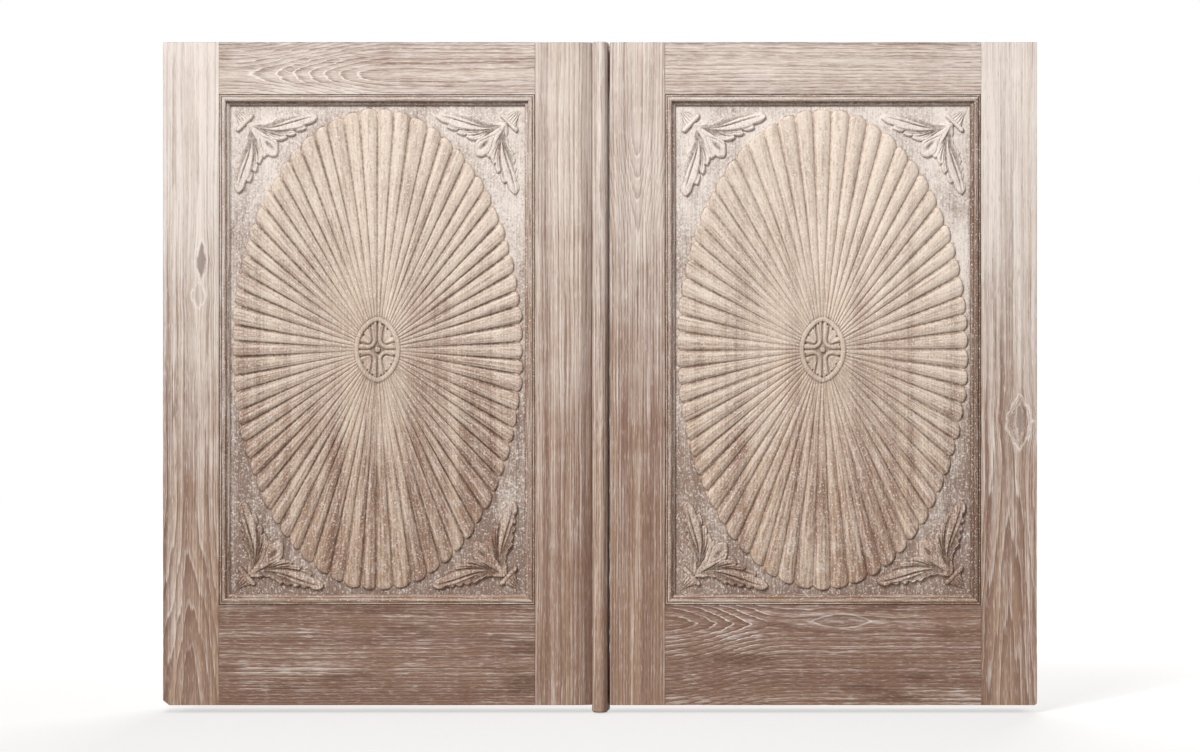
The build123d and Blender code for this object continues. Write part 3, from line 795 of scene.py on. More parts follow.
        return carved(np.vstack([stop + arc, start - arc]), surface, self.spacing)

    def shells(self) -> list[Shell]:
        """Every piece of the spray, the leaves first.

        Returns:
            The closed shells.
        """
        leaf = carved(bowed((*self.outer_edge, *self.inner_edge)), self.leaf_surface, self.spacing)
        lobe = carved(bowed(self.lobe_edge), self.lobe_surface, self.spacing)
        tail = carved(bowed(self.tail_edge), self.tail_surface, self.spacing)
        swap = np.array([[0.0, 1.0], [1.0, 0.0]])
        return [leaf, leaf.moved(swap, (0, 0)), lobe, tail, self.collar()]


@dataclass
class CarvedPanel:
    """One board in its grooves, with the sunburst, medallion and corner sprays carved out of it."""

    side: str
    sun: Sunburst
    visible_half: tuple[float, float] = (243.0, 403.0)
    thickness: float = 12.0
    cell: float = 8.0
    clean: float = 0.02

    def board(self, wide: float, tall: float, thickness: float) -> Shell:
        """The board, with a tool-marked ground.

        Args:
            wide: Half its width in mm.
            tall: Half its height.
            thickness: Its thickness.

        Returns:
            The closed shell.
        """
        xs = np.linspace(-wide, wide, int(2 * wide / self.cell) + 1)
        ys = np.linspace(-tall, tall, int(2 * tall / self.cell) + 1)
        grid_x, grid_y = np.meshgrid(xs, ys)
        wave = Ripple(self.sun.seed + 9)
        height = 0.16 * wave.at(grid_x / 16, grid_y / 22) - 0.16
        edge = (np.abs(grid_x) > wide - 1) | (np.abs(grid_y) > tall - 1)
        height[edge] = 0
        top = np.column_stack([grid_x.ravel(), grid_y.ravel(), height.ravel()])
        triangles = halved(between(len(ys), len(xs), False))
        return closed_over(top, triangles, np.full(len(top), self.clean), thickness, 0.0, self.clean)

    def build(self) -> list[bpy.types.Object]:
        """Builds the panel where its CAD node is.

        Returns:
            The board with its sunburst and medallion, and the four sprays.
        """
        low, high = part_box(f"{self.side}_carved_panel")
        ground = high.y - self.thickness * MM
        across, up = (low.x + high.x) / 2, (low.z + high.z) / 2

        def place(points: Array) -> Array:
            """Panel mm to the row's metres."""
            return np.column_stack([across + points[:, 0] * MM, ground - points[:, 2] * MM, up + points[:, 1] * MM])

        board = self.board((high.x - low.x) / 2 / MM, (high.z - low.z) / 2 / MM, self.thickness)
        shells = {"board": board, "sun": self.sun.shell(), "medallion": Medallion().shell()}
        face = self.joined([shell.built(name, place) for name, shell in shells.items()], f"{self.side}_panel")

        corners = []
        upper = Spray(self.sun.seed)
        lower = Spray(self.sun.seed + 1, relief=5.2, outer_height=7.2, boldness=1.5)
        kinds = [upper.shells(), lower.shells()]
        for k, (x_sign, y_sign) in enumerate(((-1, 1), (1, 1), (-1, -1), (1, -1))):
            random = np.random.default_rng(self.sun.seed + 40 + k)
            lean = math.radians(random.uniform(-1.5, 1.5))
            size = random.uniform(0.97, 1.02) * (1.0 if y_sign > 0 else 1.04)
            turn = size * np.array([[math.cos(lean), -math.sin(lean)], [math.sin(lean), math.cos(lean)]])
            flip = np.array([[-x_sign, 0.0], [0.0, -y_sign]])
            corner = (x_sign * self.visible_half[0], y_sign * self.visible_half[1])
            for i, shell in enumerate(kinds[k // 2]):
                corners.append(shell.moved(flip @ turn, corner).built(f"spray_{k}_{i}", place))
        return [face, self.joined(corners, f"{self.side}_sprays")]

    @staticmethod
    def joined(pieces: list[bpy.types.Object], name: str) -> bpy.types.Object:
        """One object from overlapping shells, with painted shade and dirt in the creases where they meet.

        Args:
            pieces: The shells' objects.
            name: The new object's name.

        Returns:
            The object.
        """
        mesh = united(pieces, name)
        layer = mesh.attributes["dirt_and_shade"]
        dirt_and_shade = np.zeros(len(mesh.vertices), np.float32)
        layer.data.foreach_get("value", dirt_and_shade)
        # Points made by the union lie in the creases between shells and get painted shade with some dirt.
        layer.data.foreach_set("value", np.where(dirt_and_shade < LEAST_DIRT_AND_SHADE / 2, 0.7, dirt_and_shade))
        return bpy.data.objects.new(name, mesh)


# Boards, mouldings and bead


@dataclass
class WornTimber:
    """A squared timber of the CAD model with its arrises rounded and knocked by wear."""

    node: str
    arris: float = 0.5
    slice_every: float = 13.0
    wobble: float = 0.22
    knock: float = 1.3
    seed: int = 1

    def build(self) -> bpy.types.Object:
        """Copies the node's skin and wears it.

        Returns:
            The timber's object.
        """
        low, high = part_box(self.node)
        size = high - low
        axis = max(range(3), key=lambda i: size[i])
        skin = bmesh.new()
        skin.from_mesh(bpy.data.objects[self.node].data)
        bmesh.ops.remove_doubles(skin, verts=skin.verts, dist=2e-6)
        bmesh.ops.dissolve_limit(skin, angle_limit=math.radians(0.6), verts=skin.verts, edges=skin.edges)
        sharp = [edge for edge in skin.edges if edge.is_manifold and edge.calc_face_angle(0) > math.radians(28)]
        worn = {"offset": self.arris * MM, "segments": 2, "profile": 0.6}
        bmesh.ops.bevel(skin, geom=sharp, affect="EDGES", clamp_overlap=True, **worn)
        normal = Vector((0, 0, 0))
        normal[axis] = 1
        for k in range(1, int(size[axis] / (self.slice_every * MM))):
            cut = low.copy()
            cut[axis] += k * self.slice_every * MM
            everything = [*skin.verts, *skin.edges, *skin.faces]
            bmesh.ops.bisect_plane(skin, geom=everything, plane_co=cut, plane_no=normal, dist=1e-6)
        self.wear(skin, low, high, axis)
        return finished(skin, self.node + "_worn")

    def wear(self, skin: bmesh.types.BMesh, low: Vector, high: Vector, axis: int) -> None:
        """Makes faces a little uneven and knocks the arrises back here and there.

        Args:
            skin: The skin to change.
            low: The timber's lowest corner.
            high: Its highest corner.
            axis: The axis that its grain runs along.
        """
        wave = Ripple(self.seed)
        others = [i for i in range(3) if i != axis]
        places = np.array([vert.co for vert in skin.verts])
        centre = (np.array(low) + np.array(high)) / 2
        along = places[:, axis] / MM
        moved = places.copy()
        for i, beside in zip(others, others[::-1]):
            other = places[:, beside] / MM
            moved[:, i] += wave.at(along / 70 + 7 * i, other / 40) * self.wobble * 0.5 * MM
            off = places[:, i] - centre[i]
            half = (high[i] - low[i]) / 2 / MM
            outer = eased(np.abs(off) / MM, half - 2.5, half - 0.8)
            knocked = eased(wave.at(along / 9 + 50, other / 30 + 3 * i), 0.45, 0.95) * outer
            near_end = eased(np.abs(other - centre[beside] / MM), 1, 2)
            moved[:, i] -= np.sign(off) * knocked * near_end * self.knock * 0.35 * MM
        for vert, place in zip(skin.verts, moved):
            vert.co = place


class MouldingSide(Enum):
    """The side of its panel that a strip lies on."""

    BOTTOM = "bottom"
    MEETING = "meeting_side"
    TOP = "top"
    HINGE = "hinge_side"


@dataclass
class Moulding:
    """A mitred strip round the panel: quirk, fillet, half-round and sloping inner edge."""

    side: MouldingSide
    leaf: str
    seed: int
    width: float = 17.0
    back: float = -13.5
    station: float = 9.0

    def profile(self) -> tuple[Array, Array]:
        """The strip's section.

        Returns:
            Points from the framing's edge towards the panel and out from the leaf's face, and dirt with painted shade
            at each.
        """
        # The third number darkens the quirk, the half-round's feet and the sloping inner edge: painted shade in these
        # creases, with some dirt.
        rows = [
            (0.0, self.back, 0.9), (0.0, -1.9, 0.8), (0.35, -2.5, 1.0), (1.2, -2.4, 0.9), (1.35, -0.75, 0.25),
            (1.7, -0.45, 0.0), (3.0, -0.5, 0.05), (3.5, -0.9, 0.6), (3.6, -3.6, 0.95),
        ]
        for turn in np.linspace(math.pi, 0, 11):
            foot = abs(math.cos(turn)) > 0.93
            rows.append((7.5 + 3.75 * math.cos(turn), -3.9 + 3.95 * math.sin(turn), 0.75 if foot else 0.1))
        # On the top strip the sloping inner edge is darker still, a painted shadow cast by the rail above.
        shaded = (1.0, 0.9, 0.65, 0.65, 0.9, 1.0) if self.side is MouldingSide.TOP else (1.0, 0.5, 0.0, 0.1, 0.6, 1.0)
        slope = [(11.4, -6.6), (12.1, -6.9), (15.6, -8.7), (16.4, -9.3), (self.width, -10.2), (self.width, self.back)]
        section = np.array([*rows, *((*place, mark) for place, mark in zip(slope, shaded))])
        return section[:, :2], section[:, 2]

    def build(self) -> bpy.types.Object:
        """Builds the strip where its CAD node is.

        Returns:
            The strip's object.
        """
        low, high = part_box(f"{self.leaf}_moulding_{self.side.value}")
        upright = high.z - low.z > high.x - low.x
        length = (high.z - low.z if upright else high.x - low.x) / MM
        turned = MouldingSide.HINGE if self.leaf == "left" else MouldingSide.MEETING
        towards_low = self.side in (MouldingSide.BOTTOM, turned)
        edge = low if towards_low else high
        section, dirt_and_shade = self.profile()
        inward, outward = section.T
        across = (inward if towards_low else -inward) * MM
        count, stations = len(section), int(length / self.station)
        wave = Ripple(self.seed)
        skin = bmesh.new()
        for share in np.arange(stations + 1) / stations:
            along = inward + share * (length - 2 * inward)
            lift = 0.16 * wave.at(along / 60, inward / 30)
            nick = eased(wave.at(along / 8 + 40, inward / 6), 0.55, 1.0) * (outward > -2.0)
            y = high.y - (outward + np.where(outward > -9, lift - 0.7 * nick, 0) - self.back) * MM
            x, z = (edge.x + across, low.z + along * MM) if upright else (low.x + along * MM, edge.z + across)
            for place in np.column_stack([x, y, z]):
                skin.verts.new(place)
        verts = list(skin.verts)
        for face in (*between(stations + 1, count), range(count)[::-1], range(stations * count, len(verts))):
            skin.faces.new([verts[i] for i in face])
        bmesh.ops.recalc_face_normals(skin, faces=skin.faces)
        strip = finished(skin, f"{self.leaf}_moulding_{self.side.value}_worn")
        paint_dirt_and_shade(strip.data, np.tile(dirt_and_shade, stations + 1))
        return strip


@dataclass
class ScrewHeads:
    """The slotted screw heads of one hinge flap, let in nearly flush."""

    leaf: str
    level: str
    owner: str
    radius: float = 3.9
    proud: float = 0.35
    slot: float = 1.0
    places: Path = ((16.5, -34.0), (10.0, 0.0), (16.5, 34.0))

    def build(self) -> bpy.types.Object:
        """Builds the heads as round discs, each with a pair of half-round lands beside its slot.

        Returns:
            One object with every head of the flap.
        """
        low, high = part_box(f"{self.leaf}_{self.level}_hinge_{self.owner}_flap")
        pin_low, pin_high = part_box(f"{self.leaf}_{self.level}_hinge_pin")
        on_leaf = self.owner == "leaf"
        face_y, out = (-0.032, 1) if on_leaf else (-0.030, -1)
        inward = 1 if self.leaf == "left" else -1
        start = (pin_low.x + pin_high.x) / 2 + inward * 5 * MM
        cut = math.asin(self.slot / 2 / self.radius)
        skin = bmesh.new()
        for k, (away, up) in enumerate(self.places):
            centre = Vector((start + inward * away * MM, face_y, (low.z + high.z) / 2 + up * MM))
            turn = 0.7 + 1.1 * k + (0.5 if on_leaf else 0.0)
            self.prism(skin, self.round(0, 2 * math.pi, 24), centre, turn, (-0.6, self.proud * 0.3), out)
            for side in (0.0, math.pi):
                land = self.round(side + cut, side + math.pi - cut, 12)
                self.prism(skin, land, centre, turn, (-0.5, self.proud), out)
        bmesh.ops.recalc_face_normals(skin, faces=skin.faces)
        return finished(skin, f"{self.leaf}_{self.level}_{self.owner}_screw_heads")

    def round(self, start: float, stop: float, steps: int) -> list[tuple[float, float]]:
        """Points on the head's edge.

        Args:
            start: First bearing.
            stop: Last bearing, left out where it closes the circle.
            steps: How many points.

        Returns:
            The points in mm.
        """
        whole = stop - start > 6.28
        turns = np.linspace(start, stop, steps, endpoint=not whole)
        radius = self.radius * (1.0 if whole else 0.93)
        return [(radius * math.cos(t), radius * math.sin(t)) for t in turns]

    @staticmethod
    def prism(
        skin: bmesh.types.BMesh,
        plan: list[tuple[float, float]],
        centre: Vector,
        turn: float,
        heights: tuple[float, float],
        out: int,
    ) -> None:
        """Adds a low prism with a softened top edge.

        Args:
            skin: Where it is added.
            plan: Its outline in mm.
            centre: Its middle.
            turn: How far it is turned, in radians.
            heights: Its foot and its top in mm, out from the flap's face.
            out: Which way is out along the row's Y.
        """
        under, over = heights
        verts = []
        for level, size in ((under, 1.0), (over - 0.12, 1.0), (over, 0.94)):
            for x, y in plan:
                across = size * (x * math.cos(turn) - y * math.sin(turn))
                up = size * (x * math.sin(turn) + y * math.cos(turn))
                verts.append(skin.verts.new(centre + Vector((across * MM, out * level * MM, up * MM))))
        for face in between(3, len(plan)):
            skin.faces.new([verts[i] for i in face])
        skin.faces.new(verts[: len(plan)][::-1])
        skin.faces.new(verts[-len(plan) :])


# Shader maths and finishes


class Signal:
    """A number that flows between nodes; arithmetic on it adds Math nodes."""

    def __init__(self, graph: "Graph", socket: bpy.types.NodeSocket) -> None:
        """Wraps an output socket of a graph."""
        self.graph = graph
        self.socket = socket

    def __add__(self, other: "Number") -> "Signal":
        """The sum."""
        return self.graph.maths("ADD", self, other)

    def __sub__(self, other: "Number") -> "Signal":
        """This less the other."""
        return self.graph.maths("SUBTRACT", self, other)

    def __rsub__(self, other: "Number") -> "Signal":
        """The other less this."""
        return self.graph.maths("SUBTRACT", other, self)

    def __mul__(self, other: "Number") -> "Signal":
        """The product."""
        return self.graph.maths("MULTIPLY", self, other)

    def __truediv__(self, other: "Number") -> "Signal":
        """This over the other."""
        return self.graph.maths("DIVIDE", self, other)

    def __pow__(self, other: "Number") -> "Signal":
        """This to a power."""
        return self.graph.maths("POWER", self, other)

    __radd__ = __add__
    __rmul__ = __mul__

    def least(self, other: "Number") -> "Signal":
        """The smaller of the two."""
        return self.graph.maths("MINIMUM", self, other)

    def most(self, other: "Number") -> "Signal":
        """The larger of the two."""
        return self.graph.maths("MAXIMUM", self, other)

    def fraction(self) -> "Signal":
        """What is left over the whole number below."""
        return self.graph.maths("FRACT", self)

    def root(self) -> "Signal":
        """The square root."""
        return self.graph.maths("SQRT", self)

    def size(self) -> "Signal":
        """The number without its sign."""
        return self.graph.maths("ABSOLUTE", self)

    def square(self) -> "Signal":
        """The number times itself."""
        return self.graph.maths("MULTIPLY", self, self)

    def ramp(self, low: float, high: float) -> "Signal":
        """Rises smoothly from 0 at low to 1 at high, or falls where low is the higher.

        Args:
            low: Where it is 0.
            high: Where it is 1.

        Returns:
            A number from 0 to 1.
        """
        if low > high:
            return 1 - self.ramp(high, low)
        limits = {"Value": self, "From Min": low, "From Max": high}
        return self.graph.node("ShaderNodeMapRange", {"interpolation_type": "SMOOTHSTEP"}, limits)


Number = Union[float, Signal]


class Graph:
    """The nodes of one material or world."""

    def __init__(self, owner: Union[bpy.types.Material, bpy.types.World]) -> None:
        """Starts with no nodes.

        Args:
            owner: The material or world.
        """
        owner.use_nodes = True
        self.tree = owner.node_tree
        self.tree.nodes.clear()

    def node(
        self,
        kind: str,
        settings: Optional[dict[str, Any]] = None,
        inputs: Optional[dict[Union[int, str], Any]] = None,
        output: Union[int, str] = 0,
    ) -> Signal:
        """Adds a node.

        Args:
            kind: The node's type.
            settings: What is set on the node before its sockets, such as an operation.
            inputs: Values or links for its sockets, by name or number.
            output: Which output is wanted.

        Returns:
            That output.
        """
        made = self.tree.nodes.new(kind)
        for name, value in (settings or {}).items():
            setattr(made, name, value)
        for key, value in (inputs or {}).items():
            if isinstance(value, Signal):
                self.tree.links.new(value.socket, made.inputs[key])
            else:
                made.inputs[key].default_value = value
        return Signal(self, made.outputs[output])

    def maths(self, operation: str, *terms: Number) -> Signal:
        """What a Math node makes of one or two numbers."""
        return self.node("ShaderNodeMath", {"operation": operation}, dict(enumerate(terms)))

    def blend(self, share: Number, under: Any, over: Any, mode: str = "MIX") -> Signal:
        """One colour over another, which shows through where the share is below 1."""
        return self.node("ShaderNodeMix", {"data_type": "RGBA", "blend_type": mode}, {0: share, 6: under, 7: over}, 2)

    def point(self, x: Number, y: Number, z: Number) -> Signal:
        """A vector from three numbers."""
        return self.node("ShaderNodeCombineXYZ", None, {0: x, 1: y, 2: z})

    def noise(self, where: Signal, detail: float = 2.0, rough: float = 0.5) -> Signal:
        """Noise round 0.5, one cell to a unit of where, with finer and weaker layers on it."""
        inputs = {"Vector": where, "Scale": 1.0, "Detail": detail, "Roughness": rough}
        return self.node("ShaderNodeTexNoise", None, inputs)

    def place(self) -> tuple[Signal, Signal, Signal]:
        """The surface's place on its body.

        Returns:
            Its three coordinates in metres.
        """
        parts = self.tree.nodes.new("ShaderNodeSeparateXYZ")
        self.tree.links.new(self.node("ShaderNodeTexCoord", None, None, "Object").socket, parts.inputs[0])
        return Signal(self, parts.outputs[0]), Signal(self, parts.outputs[1]), Signal(self, parts.outputs[2])

    def seen(self) -> Signal:
        """Which rays see the surround: those from the camera, off a gloss or through glass.

        Returns:
            1 for those rays, and 0 for the light that falls on the object.
        """
        kinds = ("Is Camera Ray", "Is Glossy Ray", "Is Transmission Ray")
        camera, gloss, glass = (self.node("ShaderNodeLightPath", None, None, kind) for kind in kinds)
        return camera + gloss + glass

    def finish(self, shader: Signal, kind: str = "Material") -> None:
        """Sends a shader to the output of a Material or World."""
        out = self.tree.nodes.new("ShaderNodeOutput" + kind)
        self.tree.links.new(shader.socket, out.inputs["Surface"])


class Grain(Enum):
    """Which way a timber's fibres run."""

    UPRIGHT = "upright"
    LEVEL = "level"


@dataclass(frozen=True)
class Figure:
    """How growth rings cross a board's face: straight lines beside an axis, arched over it on one stretch."""

    axis: float = 0.0
    spread: float = 0.008
    rate: float = 1.6
    start: float = 0.0
    stop: float = 1.0
    arches: float = 0.0
    shine: float = 0.3


@dataclass(frozen=True)
class Knot:
    """A knot or closed ring on a board's face: middle, half width across the grain and half length along it."""

    x: float
    z: float
    across: float
    along: float
    dark: float = 0.6
    rings: float = 2.0
    core: float = 0.35
    torn: float = 1.2


@dataclass(frozen=True)
class LimedWood:
    """Open-grained hardwood, limed and then worn, with its growth rings, fibres, pores, knots and dirt, painted shade
    on the carving and on set bands, and a painted light falloff that leaves the top paler.
    """

    name: str
    grain: Grain
    seed: float
    wash: float = 0.62
    # How much more lime the top gets than the bottom: a painted light falloff, so that the top reads lighter.
    painted_falloff: float = 0.34
    warmth: float = 0.5
    figure: Figure = Figure()
    ring_strength: float = 0.7
    fibre: float = 22.0
    waver: float = 0.003
    patchy: float = 0.2
    wild: float = 1.0
    knots: tuple[Knot, ...] = ()
    edges: Optional[tuple[float, float, float, float]] = None
    # Bands of painted shade, each a start and a stop across x and a strength; each darkens from its start onwards.
    painted_shade_bands: Triples = ()
    carved: bool = False
    sun: Optional[tuple[float, float]] = None
    raw: Colour = RAW_WOOD
    honey: Colour = HONEY_WOOD

    def material(self) -> bpy.types.Material:
        """Builds the finish.

        Returns:
            The material.
        """
        made = bpy.data.materials.new(self.name)
        g = Graph(made)
        x, y, z = g.place()
        along, across = (z, x) if self.grain is Grain.UPRIGHT else (x, z)
        shift = self.seed * 7.31

        def drawn(rate: float, draw: float, cut: int, detail: float, rough: float = 0.5) -> Signal:
            """Noise with rate cells a metre across the grain and draw along it, of its own cut."""
            return g.noise(g.point(across * rate + shift * cut, y * rate, along * draw), detail, rough)

        def even(rate: float, detail: float, rough: float) -> Signal:
            """Noise with rate cells a metre every way."""
            return g.noise(g.point(x * rate + shift, y * rate, z * rate), detail, rough)

        drift, sway = drawn(7, 1.3, 1, 2.0), drawn(30, 9, 1, 2.0)  # the fibres' own wander over the board
        across = across + (drift - 0.5) * 0.010 + (sway - 0.5) * self.waver
        across, knot_dark, knot_light = self.knotted(g, along, across)
        fine, dashes = drawn(560, self.fibre, 1, 2.0, 0.6), drawn(700, self.fibre + 44, 2, 1.0)
        strands, bands = drawn(190, 2.6, 3, 1.0), drawn(44, 0.9, 4, 2.0)
        patch, cloud, grit = drawn(40, 5, 5, 3.0, 0.6), even(11, 3.0, 0.55), even(330, 2.0, 0.6)
        if self.sun:
            to_x, to_z = x - self.sun[0], z - self.sun[1]
            radius = (to_x * to_x + to_z * to_z).root()
            turn_x, turn_z = to_x / radius * 0.16, to_z / radius * 0.16
            oval = (to_x / (Sunburst.half_width * MM)).square() + (to_z / (Sunburst.half_height * MM)).square()
            inside = oval.ramp(1.0, 0.99) * y.ramp(-0.050, -0.053)

            def rayed(plain: Signal, rate: float, draw: float, cut: int) -> Signal:
                """A kind of grain that inside the sun runs out from its middle."""
                rays = g.noise(g.point(turn_x * rate + cut, turn_z * rate, radius * draw), 1.0)
                return plain + (rays - plain) * inside

            fine, dashes = rayed(fine, 460, self.fibre, 0), rayed(dashes, 560, 90, 9)
            strands = rayed(strands, 170, 5, 5)

        wander = (bands - 0.5) * 2.4 + (strands - 0.5) * 0.3 + (fine - 0.5) * 0.3 + (patch - 0.5) * self.wild
        ring = (self.rings(along, across) + wander).fraction()
        dark_line = ring.ramp(0.25, 0.8) * ring.ramp(0.88, 0.81) * self.ring_strength
        light_line = ring.ramp(0.78, 0.86) * ring.ramp(1.0, 0.93) * cloud.ramp(0.33, 0.5) * self.ring_strength
        light_line = light_line * self.arched(along, across)

        wood = g.blend(bands.ramp(0.38, 0.64) * (0.3 + self.warmth * 0.6), self.raw, self.honey)
        wood = g.blend(strands.ramp(0.56, 0.74) * 0.55, wood, ROSE_WOOD)
        wood = g.blend(dark_line * 0.6, wood, RING_BROWN)
        wood = g.blend(fine.ramp(0.46, 0.3) * 0.35, wood, FIBRE_BROWN)
        stain = patch.ramp(0.46, 0.32) * self.patchy
        wood = g.blend(stain, wood, PATCH_BROWN)

        # Painted light falloff: the lime cover grows towards the top, so the top reads lighter and the bottom darker.
        cover = z.ramp(-0.08, 1.0) * self.painted_falloff + (self.wash - self.painted_falloff)
        if self.sun:
            strands = (strands - 0.5) * (0.5 - inside * 0.1) + 0.5
            fine = (fine - 0.5) * (1 - inside * 0.25) + 0.5
            fine = fine + (grit - fine) * (1 - inside) * 0.7
            ground = (1 - inside) * y.ramp(-0.0600, -0.0572)
            bare = z.ramp(0.7, 0.2) * 0.04 + 0.07 - (cloud - 0.5) * 0.8
            cover = cover - ground * bare + (1 - inside - ground) * 0.08
            wood = g.blend(ground * 0.65, wood, GROUND_GREY)
        mask = (fine - 0.5) * 1.55 + (strands - 0.5) * 0.55 + (bands - 0.5) * 0.55 + (cloud - 0.5) * 0.6
        contrast = z.ramp(1.2, -0.1) * 0.65 + 0.6
        mask = (mask - dark_line * 0.3 + light_line * 0.3 - stain * 0.4) * contrast + cover
        limed = mask.ramp(-0.05, 1.05)
        lime = g.blend(inside, LIME, SUN_LIME) if self.sun else LIME
        colour = g.blend(limed * 0.95, wood, lime)
        pale = dashes.ramp(0.57, 0.66) * 0.45
        pale = pale.most(light_line).most(knot_light) * (mask.ramp(-0.4, 0.8) * 0.55 + 0.35)
        if self.carved:
            pale = pale.most(grit.ramp(0.58, 0.66) * 0.7)
        colour = g.blend(pale, colour, CHALK)
        pores = dashes.ramp(0.38, 0.28) * 0.35 * contrast
        if self.carved:
            pores = pores.most(grit.ramp(0.38, 0.30) * 0.35)
        colour = g.blend(pores.most(knot_dark), colour, PORE_BROWN)

        relief = fine * 0.5 + strands * 0.3 - dark_line * 0.3 + pale * 0.25 - pores * 0.9
        rough = 0.72 - limed * 0.1 + (cloud - 0.5) * 0.12
        if self.carved:
            # The carving's darkening from its mark: dirt, and painted shade in grooves, creases and at the foot of
            # the relief.
            mark = g.node("ShaderNodeAttribute", {"attribute_name": "dirt_and_shade"}, None, "Fac")
            dirt_and_shade_mask = (mark * (0.8 + (even(190, 2.0, 0.6) - 0.5) * 1.3)).ramp(0.12, 1.0)
            colour = g.blend(dirt_and_shade_mask * 0.85, colour, SOOT_AND_SHADE)
        if self.edges:
            x_low, x_high, z_low, z_high = self.edges
            near = (x - x_low).least(x_high - x).least((z - z_low).least(z_high - z))
            near = near + (strands - 0.5) * 0.0012
            colour = g.blend(near.ramp(0.0010, 0.0002) * 0.3, colour, SOOT_AND_SHADE)
        # Painted shade from each band's start onwards across the face.
        for start, stop, amount in self.painted_shade_bands:
            colour = g.blend(x.ramp(start, stop) * amount, colour, SOOT_AND_SHADE)
        bump = g.node("ShaderNodeBump", None, {"Strength": 0.75, "Distance": 0.0007, "Height": relief})
        inputs = {"Base Color": colour, "Roughness": rough, "Normal": bump, "Specular IOR Level": 0.2}
        g.finish(g.node("ShaderNodeBsdfPrincipled", None, inputs))
        return made

    def rings(self, along: Signal, across: Signal) -> Signal:
        """How many growth rings lie between each place and the figure's axis.

        Args:
            along: Distance along the grain.
            across: Distance across it.

        Returns:
            The number, with its fraction.
        """
        off = (across - self.figure.axis) / self.figure.spread
        straight = ((off * off + 1.0).root() - 1.0) * self.figure.rate
        if not self.figure.arches:
            return straight
        return straight + along.ramp(self.figure.start, self.figure.stop) * self.figure.arches

    def arched(self, along: Signal, across: Signal) -> Number:
        """How clearly the rings show: fully where they arch over the axis, faintly elsewhere.

        Args:
            along: Distance along the grain.
            across: Distance across it.

        Returns:
            A number from 0 to 1.
        """
        figure = self.figure
        if not figure.arches:
            return 0.3
        near = (across - figure.axis).size().ramp(figure.spread * 5, figure.spread * 2.5)
        stretch = along.ramp(figure.start - 0.03, figure.start + 0.02) * along.ramp(figure.stop + 0.05, figure.stop)
        return near * stretch * figure.shine + 0.15

    def knotted(self, g: Graph, along: Signal, across: Signal) -> tuple[Signal, Number, Number]:
        """Bends the grain round each knot.

        Args:
            g: The graph.
            along: Distance along the grain.
            across: Distance across it.

        Returns:
            The bent distance across, and how dark and how pale the knots make each place.
        """
        dark, pale, bent = 0.0, 0.0, across
        upright = self.grain is Grain.UPRIGHT
        for knot in self.knots:
            off = across - (knot.x if upright else knot.z)
            far = along - (knot.z if upright else knot.x)
            ragged = g.noise(g.point(across * 110 + knot.x, 0.0, along * 55), 3.0, 0.6) - 0.5
            size = (off / knot.across).size() * 0.9 + (far / knot.along).square() + ragged * knot.torn
            bent = bent - off * ((size * size * 0.4 + 1.0) ** -2.0) * 0.7
            ring = (size * knot.rings).fraction()
            lines = ring.ramp(0.3, 0.85) * ring.ramp(1.0, 0.88) * size.ramp(1.05, 0.9)
            core = size.ramp(knot.core + 0.15, knot.core - 0.15)
            dark = (lines.most(core * 0.8) * knot.dark).most(dark)
            pale = (size.ramp(0.98, 1.06) * size.ramp(1.28, 1.14) * 0.75).most(pale)
        return bent, dark, pale


@dataclass(frozen=True)
class AgedIron:
    """Dark forged iron with worn, brighter high spots and a little rust."""

    name: str = "aged_iron"

    def material(self) -> bpy.types.Material:
        """Builds the finish.

        Returns:
            The material.
        """
        made = bpy.data.materials.new(self.name)
        g = Graph(made)
        x, y, z = g.place()
        grit = g.noise(g.point(x * 900, y * 900, z * 900), 3.0, 0.6)
        cloud = g.noise(g.point(x * 90, y * 90, z * 90), 3.0, 0.6)
        colour = g.blend(cloud.ramp(0.3, 0.7), IRON, WORN_IRON)
        colour = g.blend((cloud * 0.5 + grit * 0.5).ramp(0.56, 0.66) * 0.7, colour, RUST)
        bump = g.node("ShaderNodeBump", None, {"Strength": 0.4, "Distance": 0.0003, "Height": grit})
        rough = 0.42 + (grit - 0.5) * 0.5
        inputs = {"Base Color": colour, "Roughness": rough, "Metallic": 0.75, "Normal": bump}
        g.finish(g.node("ShaderNodeBsdfPrincipled", None, inputs))
        return made


# The whole model


@dataclass
class Leaf:
    """One door leaf: framing timbers, mouldings and panel, dressed in their own cuts of wood."""

    side: str
    sun: Sunburst
    woods: dict[str, LimedWood]

    @property
    def body(self) -> str:
        """The CAD body that the leaf rides on."""
        return f"{self.side}_leaf"

    def build(self) -> None:
        """Builds and dresses every piece of the leaf."""
        for piece in CarvedPanel(self.side, self.sun).build():
            keep(piece, self.body, f"{self.side}_carved_panel", self.woods["panel"], 50)
        right = self.side == "right"
        for k, part in enumerate(("hinge_stile", "meeting_stile", "top_rail", "bottom_rail")):
            node = f"{self.side}_{part}"
            arris = 1.2 if part == "meeting_stile" else 0.5
            timber = WornTimber(node, arris, seed=20 + k + (10 if right else 0)).build()
            low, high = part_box(node)
            tenon = 0.05 if "rail" in part else 0.0
            wood = replace(self.woods[part], edges=(low.x + tenon, high.x - tenon, low.z, high.z))
            keep(timber, self.body, node, wood, 40)
        for k, side in enumerate(MouldingSide):
            strip = Moulding(side, self.side, seed=60 + k + (7 if right else 0)).build()
            part = f"moulding_{side.value}"
            keep(strip, self.body, f"{self.side}_{part}", self.woods[part], 40)


Finish = Union[LimedWood, AgedIron]
MATERIALS: dict[str, bpy.types.Material] = {}


